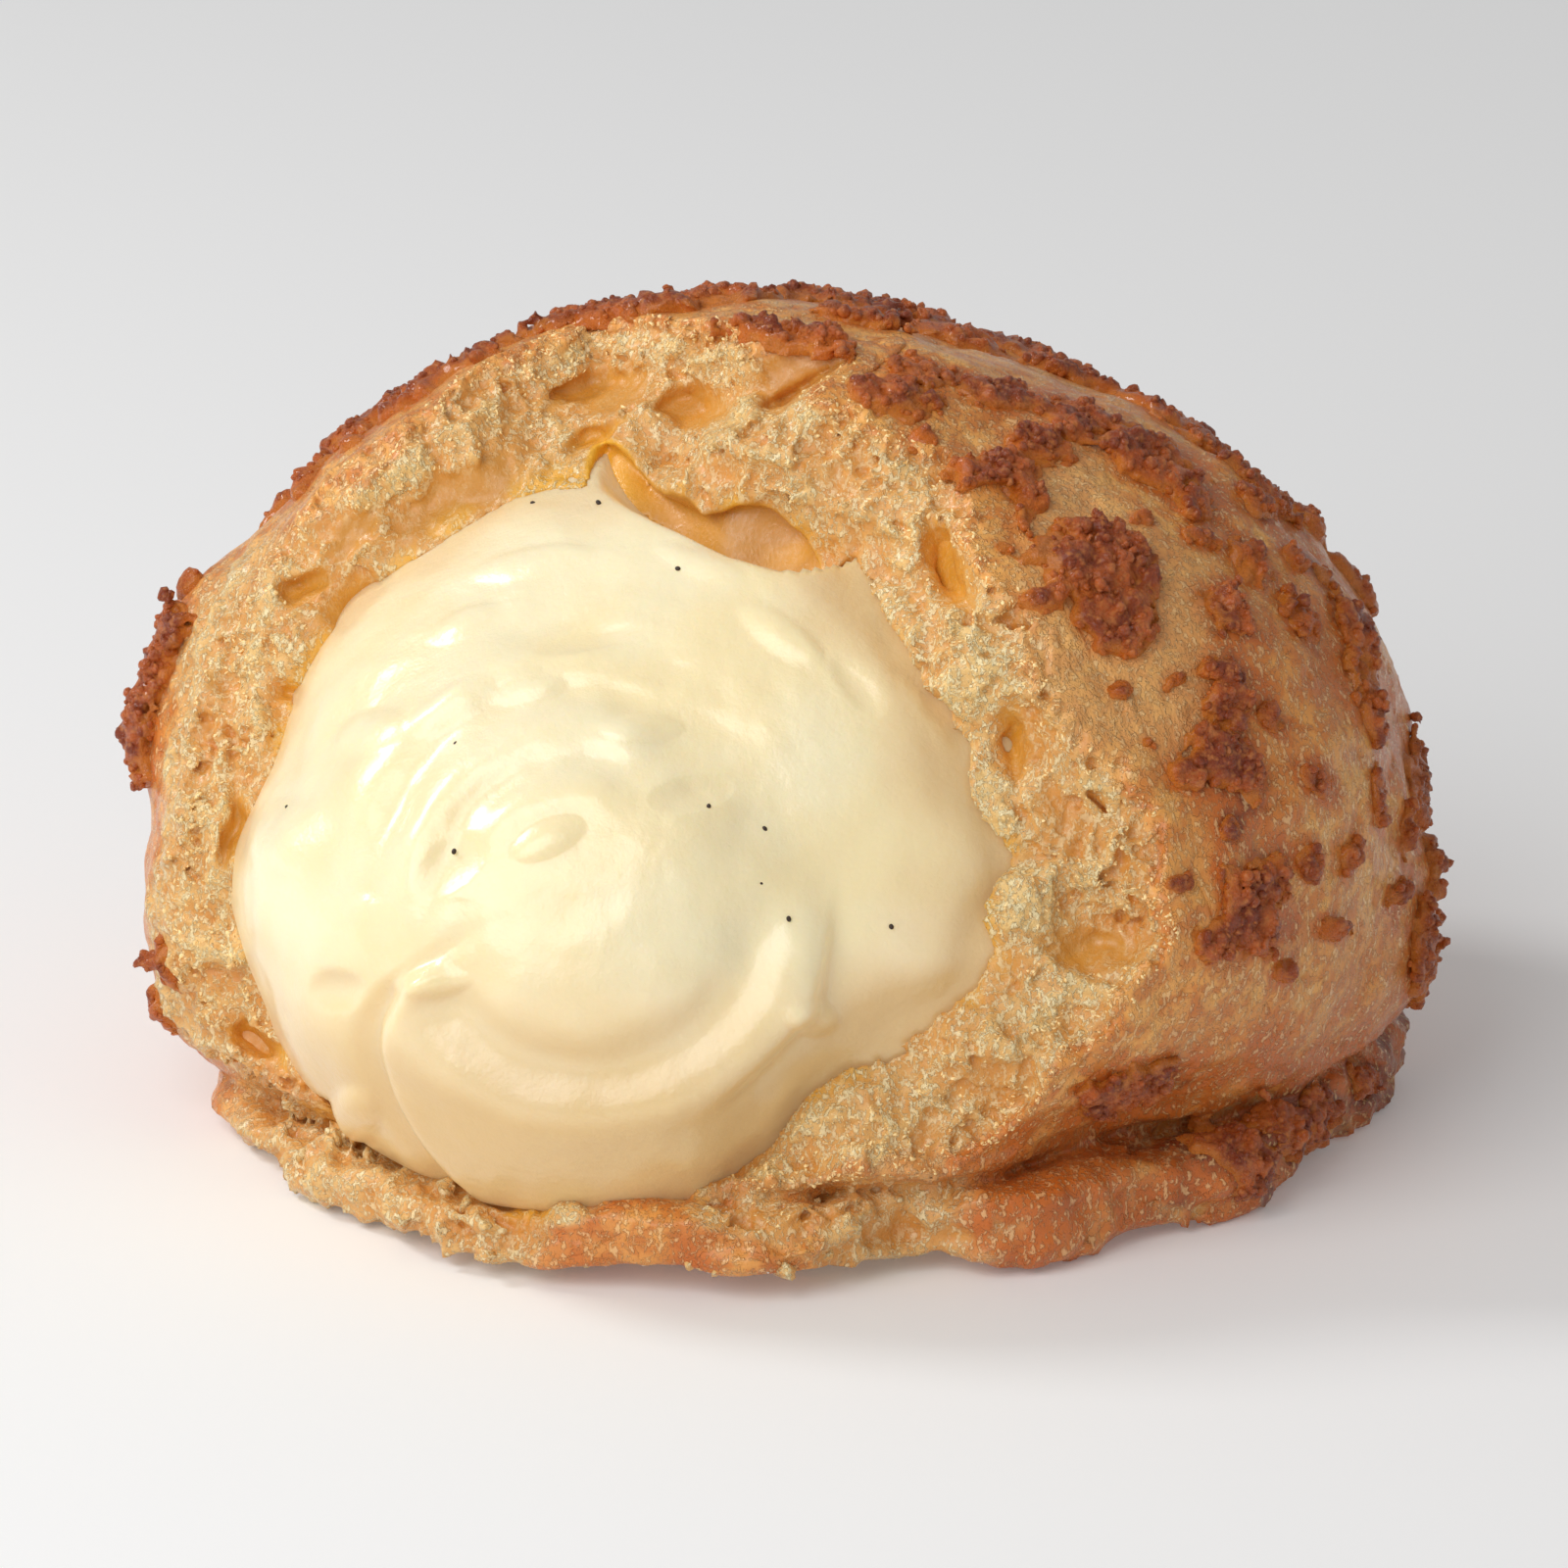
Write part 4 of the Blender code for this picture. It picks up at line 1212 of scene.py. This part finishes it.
def note_shell(mesh, clusters):
    """Stores what the shell's material reads: see shell_material."""
    points = points_of(mesh)
    face = points @ FACE.T
    before = TEAR.distance(face)
    edge = outer_distance(points) + CRUST_INSET + 0.5 * noise(points, 1.1, 71)
    skin = smooth_step(edge, -1.1, -0.3)
    skin = skin * (1 - foot_plate(points) * smooth_step(before, -1.2, -0.6))
    skin = skin * (1 - 0.9 * torn_foot(points)) * (1 - 0.9 * worn(points, before))
    _, smooth, amber = bubbles(points, face)
    inside = 1 - smooth_step(pocket_distance(points), 0.1, 0.6)
    wet = smooth_step(noise(points, 2.6, 72), 0.0, 0.5) * beside_custard(points)
    # Amber: moist crumb beside the custard, the air pocket's ends, and painted light in the bubbles.
    amber = np.maximum(np.maximum(amber, 0.8 * wet), pocket_amber(face) * inside)
    torn = np.minimum(0.6 - before, 0.3 - outer_distance(points) - CRUST_INSET)
    deep = np.where(skin > 0.5, -(outer_relief(points) - 0.1), torn)
    plain = np.maximum(0.6 * smooth, inside) * (1 - skin)
    note(mesh, skin=skin, deep=deep, toast=toast_of(points, clusters))
    note(mesh, amber=amber * (1 - skin), plain=plain, film=film(face, before))
    mesh.update()


def make_cookie(name, material, clusters, cell, low, high):
    """The cookie between two corners of space."""
    def exact(points):
        within = np.maximum(low - points, points - high).max(1)
        return np.maximum(cookie_distance(points, clusters), within)

    space = (low - 1, high + 1)
    mesh = sampled(name, cookie_rough, exact, space, cell, COOKIE_BAND, LEAST_COOKIE)
    points = points_of(mesh)
    _, inside = cookie_height(points, clusters)
    note(mesh, height=outer_distance(points) + CRUST_INSET, edge=inside)
    return piece_of(mesh, material, "baked_crust")


def cookie_rough(points):
    return np.abs(outer_distance(points)) - 0.1


def make_grains(material, cookies):
    """Grains of sugar and browned dough that stand out of the cookie."""
    numbers = np.random.default_rng(2400)

    def weight(points, normals):
        return smooth_step(outer_distance(points), -0.5, 0.4)

    places, normals = strewn(cookies, GRAIN_COUNTS, numbers, weight)
    count = len(places)
    radius = 0.16 + 0.26 * numbers.random(count) ** 1.5
    sizes = radius[:, None] * (0.75 + 0.5 * numbers.random((count, 3)))
    frames = random_frames(normals, numbers, sizes, 0.5)
    grain_shapes = [uneven(tiny_ball(2), 0.3, seed) for seed in range(6)]
    mesh = scattered("grains", grain_shapes, places + 0.3 * radius[:, None] * normals, frames)
    note(mesh, height=outer_distance(points_of(mesh)) + CRUST_INSET, edge=1.0)
    return piece_of(mesh, material, "baked_crust")


def ripples(points):
    """Height of the fine streaks and touches that the swirl left in the custard."""
    face = points @ FACE.T
    from_u, from_v = (face[:, :2] - SWIRL).T
    along, out = np.arctan2(from_v, from_u), np.hypot(from_u, from_v)
    uneven_out = out + 0.8 * noise(points, 5.0, 84)
    polar = np.stack([uneven_out, 2.0 * along * np.sqrt(out + 1), 0.25 * face[:, 2]], 1)
    streaks = 0.10 * noise(polar, 1.8, 81) + 0.05 * noise(polar, 0.9, 82)
    upper_left = smooth_step(face[:, 1] - 0.6 * face[:, 0], 8, 26)
    slow = 0.14 * noise(points, 4.0, 83) + 0.06 * noise(points, 1.8, 85)
    streaks = streaks * (0.4 + 0.7 * upper_left) * smooth_step(out, 3, 9)
    return streaks + slow + raised(face[:, 0], face[:, 1], CUSTARD_TOUCHES)


def custard_directions():
    """Directions on rings that are closest together in front, then those of the front and the back."""
    turn = math.pi * (np.arange(1, CUSTARD_RINGS) / CUSTARD_RINGS)
    closer = turn - 0.30 * np.sin(turn) * (1 + np.cos(turn))
    azimuth = math.tau * np.arange(CUSTARD_SEGMENTS) / CUSTARD_SEGMENTS
    side = np.outer(np.cos(azimuth), FACE_U) + np.outer(np.sin(azimuth), FACE_V)
    d = side[None] * np.sin(closer)[:, None, None] + FACE_W * np.cos(closer)[:, None, None]
    return np.concatenate([d.reshape(-1, 3), FACE_W[None], -FACE_W[None]])


def custard_triangles():
    """Triangles between the points of custard_directions."""
    ring = np.arange(CUSTARD_SEGMENTS)
    after = (ring + 1) % CUSTARD_SEGMENTS
    starts = CUSTARD_SEGMENTS * np.arange(CUSTARD_RINGS - 2)[:, None]
    a, b = starts + ring, starts + after
    c, e = b + CUSTARD_SEGMENTS, a + CUSTARD_SEGMENTS
    last = CUSTARD_SEGMENTS * (CUSTARD_RINGS - 2)
    front = np.full(CUSTARD_SEGMENTS, last + CUSTARD_SEGMENTS)
    corners = [(a, e, c), (a, c, b), (front, ring, after), (front + 1, last + after, last + ring)]
    return np.concatenate([np.stack(three, -1).reshape(-1, 3) for three in corners])


def make_custard(material):
    """The custard, with its streaks, tucked in where it meets the crumb on the right."""
    d = custard_directions()
    radius = custard_radius(d)
    plain = CUSTARD_CENTRE + d * radius[:, None]
    front = smooth_step(plain @ FACE_W, 4, 16)
    tucked = front * bell(TEAR.distance(plain @ FACE.T) - 0.2, 1.3)
    tucked = 0.6 * tucked * smooth_step(plain[:, 0], -12, 4)
    points = CUSTARD_CENTRE + d * (radius + front * ripples(plain) - tucked)[:, None]
    mesh = mesh_of("custard", points, custard_triangles())
    # The custard's painted shade is stored for its material.
    note(mesh, rich=rich_of(mesh, points))
    return piece_of(mesh, material, "custard", "custard_filling")


def rich_of(mesh, points):
    """Painted shade on the custard, as a golden colour: more on its undersides, low down and close to the
    crumb.
    """
    normals = np.empty(len(points) * 3, np.float32)
    mesh.vertex_normals.foreach_get("vector", normals)
    under = smooth_step(-normals.reshape(-1, 3)[:, 2], -0.2, 0.7)
    face = points @ FACE.T
    walls = smooth_step(TEAR.distance(face), 4.5, 0.0)
    right = smooth_step(face[:, 0], -16, 2)
    low = smooth_step(face[:, 1], 11, -3)
    return np.clip(0.45 * under + (0.5 + 0.35 * right) * walls + 0.75 * low, 0, 1)


def tiny_ball(subdivisions):
    """Points and triangles of a ball of radius 1: 20 triangles for 1, 80 for 2, 320 for 3."""
    bm = bmesh.new()
    bmesh.ops.create_icosphere(bm, subdivisions=subdivisions, radius=1)
    points = np.array([vertex.co[:] for vertex in bm.verts])
    triangles = np.array([[vertex.index for vertex in face.verts] for face in bm.faces])
    bm.free()
    return points, triangles


def uneven(shape, height, seed):
    """The shape with random lumps on it."""
    points, triangles = shape
    lumps = noise(points, 0.9, seed) + 0.5 * noise(points, 0.45, seed + 50)
    return points * (1 + height * lumps)[:, None], triangles


def scattered(name, shapes, places, frames):
    """One mesh of copies of the shapes, in turn, at the places. frames holds each copy's three axes."""
    points = np.array([shape[0] for shape in shapes])
    triangles = shapes[0][1]
    turn = np.arange(len(places)) % len(shapes)
    copies = np.einsum('nkj,nji->nki', points[turn], frames) + places[:, None, :]
    shifts = np.arange(len(places))[:, None, None] * points.shape[1]
    return mesh_of(name, copies.reshape(-1, 3), (triangles[None] + shifts).reshape(-1, 3))


def surface_samples(mesh, count, numbers, weight):
    """(points, normals) strewn over the mesh, where weight(points, normals) of a face says how many."""
    points = points_of(mesh)
    corners = np.empty(len(mesh.polygons) * 3, np.int32)
    mesh.polygons.foreach_get("vertices", corners)
    a, b, c = (points[corners.reshape(-1, 3)[:, i]] for i in range(3))
    normals = np.cross(b - a, c - a)
    area = np.linalg.norm(normals, axis=1)
    normals /= np.maximum(area, 1e-12)[:, None]
    share = area * weight((a + b + c) / 3, normals)
    chosen = numbers.choice(len(share), count, p=share / share.sum())
    one, other = np.sqrt(numbers.random(count)), numbers.random(count)
    mix = (1 - one)[:, None] * a[chosen] + (one * (1 - other))[:, None] * b[chosen]
    return mix + (one * other)[:, None] * c[chosen], normals[chosen]


def strewn(things, counts, numbers, weight):
    """(points, normals) strewn over several objects, with a count for each."""
    samples = [surface_samples(thing.data, count, numbers, weight) for thing, count in zip(things, counts)]
    return [np.concatenate(parts) for parts in zip(*samples)]


def random_frames(normals, numbers, sizes, tilt):
    """Three axes for each normal: two across it, turned at random, and one near it, times the sizes."""
    leaning = normals + tilt * numbers.normal(size=normals.shape)
    leaning /= np.linalg.norm(leaning, axis=1)[:, None]
    other = np.cross(leaning, numbers.normal(size=normals.shape))
    other /= np.linalg.norm(other, axis=1)[:, None]
    third = np.cross(leaning, other)
    return np.stack([other, third, leaning], 1) * sizes[:, :, None]


def make_flakes(material, crumb):
    """Thin membranes and fibres that stand on the torn crumb."""
    numbers = np.random.default_rng(21)
    count = FLAKE_COUNT

    def weight(points, normals):
        face = points @ FACE.T
        before = TEAR.distance(face)
        _, smooth, _ = bubbles(points, face)
        out = outer_distance(points)
        clear = smooth_step(room_distance(points), 0.3, 1.2) * smooth_step(pocket_distance(points), 0.5, 1.5)
        return smooth_step(before, -0.9, 0.3) * (1 - smooth) * clear * (0.35 + smooth_step(out, -6, -1))

    places, normals = surface_samples(crumb.data, count, numbers, weight)
    long = 0.08 + 0.26 * numbers.random(count) ** 2
    sizes = np.stack([long, long * (0.2 + 0.5 * numbers.random(count)), np.full(count, 0.035)], 1)
    frames = random_frames(normals, numbers, sizes, 0.7)
    shapes = [bent_flake(seed) for seed in range(6)]
    mesh = scattered("crumb_flakes", shapes, places + 0.04 * normals, frames)
    return piece_of(mesh, material, "baked_crust")


def bent_flake(seed):
    """A ball that the copies' frames press flat, first bent and twisted in its third direction."""
    points, triangles = tiny_ball(1)
    x, y, _ = points.T
    lift = 3 * x ** 2 + 1.5 * x * y + 2.5 * noise(points, 0.8, seed)
    bent = points * (1 + 0.35 * noise(points, 0.7, seed + 9)[:, None])
    bent[:, 2] += lift
    return bent, triangles


def make_loose_crumbs(material, crumb):
    """Broken crumbs on the foot in front."""
    numbers = np.random.default_rng(41)
    count = LOOSE_CRUMB_COUNT

    def weight(points, normals):
        low = 1 - smooth_step(points[:, 2], 5, 8)
        front = (1 - smooth_step(points[:, 1], -14, -8)) * smooth_step(normals @ FACE_W, -0.1, 0.5)
        clear = smooth_step(room_distance(points), 0.5, 1.5)
        return low * front * clear * np.maximum(foot_plate(points), torn_foot(points))

    places, normals = surface_samples(crumb.data, count, numbers, weight)
    radius = 0.22 + 0.6 * numbers.random(count) ** 3
    sizes = radius[:, None] * (0.6 + 0.7 * numbers.random((count, 3)))
    frames = random_frames(normals, numbers, sizes, 0.8)
    shapes = [uneven(tiny_ball(3), 0.55, seed) for seed in range(20, 28)]
    mesh = scattered("loose_crumbs", shapes, places + 0.25 * radius[:, None] * normals, frames)
    browned, depth = np.repeat(numbers.random((count, 2)), len(shapes[0][0]), 0).T
    note(mesh, skin=0.35 * (browned > 0.8), deep=1.1 * depth - 0.2, toast=0.4, amber=0, plain=0, film=0)
    return piece_of(mesh, material, "baked_crust")


# Dustings of flour and sugar on the foot: u, v, spread, share of all.
FLOUR = (
    (33.4, -0.2, 1.3, 3.0), (34.2, -2.9, 1.2, 2.5), (-6.0, -9.6, 5.0, 1.0), (14.0, -8.4, 3.0, 1.0),
)


def make_flour(material, crust, crumb):
    """Specks of flour and sugar on the shell, where FLOUR says."""
    numbers = np.random.default_rng(51)

    def weight(points, normals):
        face = points @ FACE.T
        share = 0
        for u, v, spread, part in FLOUR:
            share = share + part * bell(np.hypot(face[:, 0] - u, face[:, 1] - v), spread)
        return share * smooth_step(normals @ FACE_W, 0.0, 0.4) * (outer_distance(points) > -1.5)

    places, normals = strewn((crust, crumb), FLOUR_COUNTS, numbers, weight)
    radius = 0.05 + 0.09 * numbers.random((len(places), 1)) ** 2
    sizes = radius * (0.7 + 0.6 * numbers.random((len(places), 3)))
    frames = random_frames(normals, numbers, sizes, 0.5)
    return piece_of(scattered("flour", [tiny_ball(1)], places, frames), material, "baked_crust")


def custard_point(u, v):
    """The custard's surface point that shows at u, v."""
    w = np.arange(40.0, -10.0, -0.05)
    points = u * FACE_U + v * FACE_V + w[:, None] * FACE_W
    inside = np.flatnonzero(CUSTARD.distance(points, CUSTARD_CENTRE) < 0)
    return points[inside[0]]


# Vanilla seeds that show on the custard: u, v.
SEEDS = (
    (-16.0, 37.8), (-11.8, 37.8), (-1.3, 29.8), (-6.7, 33.5), (-20.6, 22.4), (-4.7, 18.5), (-1.2, 17.1),
    (-1.5, 13.7), (0.3, 11.5), (6.7, 11.0), (-20.6, 15.7), (-31.4, 18.4),
)
SEED_LENGTH = 0.21


def make_seeds(material):
    """Vanilla seeds, half sunk in the custard."""
    numbers = np.random.default_rng(31)
    places = np.array([custard_point(u, v) for u, v in SEEDS])
    count = len(places)
    sizes = SEED_LENGTH * np.stack([np.ones(count), 0.75 * np.ones(count), 0.6 * np.ones(count)], 1)
    frames = random_frames(np.tile(FACE_W, (count, 1)), numbers, sizes, 0.3)
    return piece_of(scattered("vanilla_seeds", [tiny_ball(2)], places, frames), material, "custard")


# ---------------------------------------------------------------- stage

# In metres. The floor lies just under the puff, so that the two don't flicker through each other.
FLOOR_HALF_WIDTH = 3.0
FLOOR_GAP = 0.0001
# Lights: name, place in widths of the puff from its middle, size (metres), power (watts).
LIGHTS = (
    ("key", (-4.2, 1.2, 3.6), 0.13, 0.75),
    ("front", (-2.7, -3.9, 3.5), 0.44, 1.3),
)
SKY_STRENGTH = 0.35


def make_floor():
    """A plain pale floor."""
    made, _, _ = new_material(
        "floor",
        Base_Color=(0.88, 0.88, 0.88, 1),
        Roughness=0.9,
        Specular_IOR_Level=0.1,
        Emission_Color=(1, 1, 1, 1),
        Emission_Strength=0.1,
    )
    mesh = bpy.data.meshes.new("floor")
    half = FLOOR_HALF_WIDTH
    corners = [(-half, -half, 0), (half, -half, 0), (half, half, 0), (-half, half, 0)]
    mesh.from_pydata(corners, [], [(0, 1, 2, 3)])
    mesh.materials.append(made)
    floor = bpy.data.objects.new("floor", mesh)
    floor.location.z = cad_low.z - FLOOR_GAP
    bpy.context.scene.collection.objects.link(floor)


def aimed(thing, target, place):
    """Puts the light or camera at the place, turned to the target."""
    thing.location = place
    thing.rotation_euler = (target - place).to_track_quat('-Z', 'Y').to_euler()
    bpy.context.scene.collection.objects.link(thing)


def make_light(name, place, size, power):
    """A soft round light that shines at the puff's middle."""
    light = bpy.data.lights.new(name, 'AREA')
    light.shape = 'DISK'
    light.size = size
    light.energy = power
    width = cad_high.x - cad_low.x
    middle = (cad_low + cad_high) / 2
    aimed(bpy.data.objects.new(name, light), middle, middle + Vector(place) * width)


def make_world(strength):
    world = bpy.data.worlds.new("studio")
    world.use_nodes = True
    background = world.node_tree.nodes["Background"]
    background.inputs["Color"].default_value = (1, 1, 1, 1)
    background.inputs["Strength"].default_value = strength
    bpy.context.scene.world = world


# The camera looks along -w from this far. The picture is this wide at the puff, and its middle is
# this far up the face from the origin.
CAMERA_DISTANCE = 900 * MM
VIEW_WIDTH = 101.44 * MM
VIEW_MIDDLE = 19.91 * MM
SENSOR = 36.0


def make_camera():
    camera = bpy.data.cameras.new("camera")
    camera.sensor_width = SENSOR
    camera.lens = SENSOR * CAMERA_DISTANCE / VIEW_WIDTH
    camera.clip_start = CAMERA_DISTANCE / 20
    thing = bpy.data.objects.new("camera", camera)
    target = Vector((0, 0, VIEW_MIDDLE / FACE_V[2]))
    aimed(thing, target, target + Vector(FACE_W) * CAMERA_DISTANCE)
    bpy.context.scene.camera = thing


def main():
    """Makes the stage, then the puff's pieces."""
    make_camera()
    make_floor()
    make_world(SKY_STRENGTH)
    for light in LIGHTS:
        make_light(*light)
    bpy.context.scene.view_settings.view_transform = 'Standard'

    clusters = shown_clusters() + hidden_clusters()
    shell = shell_material()
    crust = make_crust(shell, clusters)
    crumb = make_crumb(shell, clusters)
    cookie = cookie_material()
    front = make_cookie("cookie_front", cookie, clusters, COOKIE_CELL, *FRONT)
    back = make_cookie("cookie_back", cookie, clusters, BACK_COOKIE_CELL, *BACK)
    make_grains(cookie, (front, back))
    make_custard(custard_material())
    # The flakes get a warm painted glow, standing in for light that passes through them.
    glow = {"Emission_Color": linear(255, 190, 100), "Emission_Strength": 0.16}
    make_flakes(plain_material("flake", linear(255, 228, 168), 0.4, **glow), crumb)
    make_loose_crumbs(shell, crumb)
    make_flour(plain_material("flour", linear(250, 244, 232), 0.8), crust, crumb)
    make_seeds(plain_material("vanilla_seed", linear(56, 38, 26), 0.5))


main()
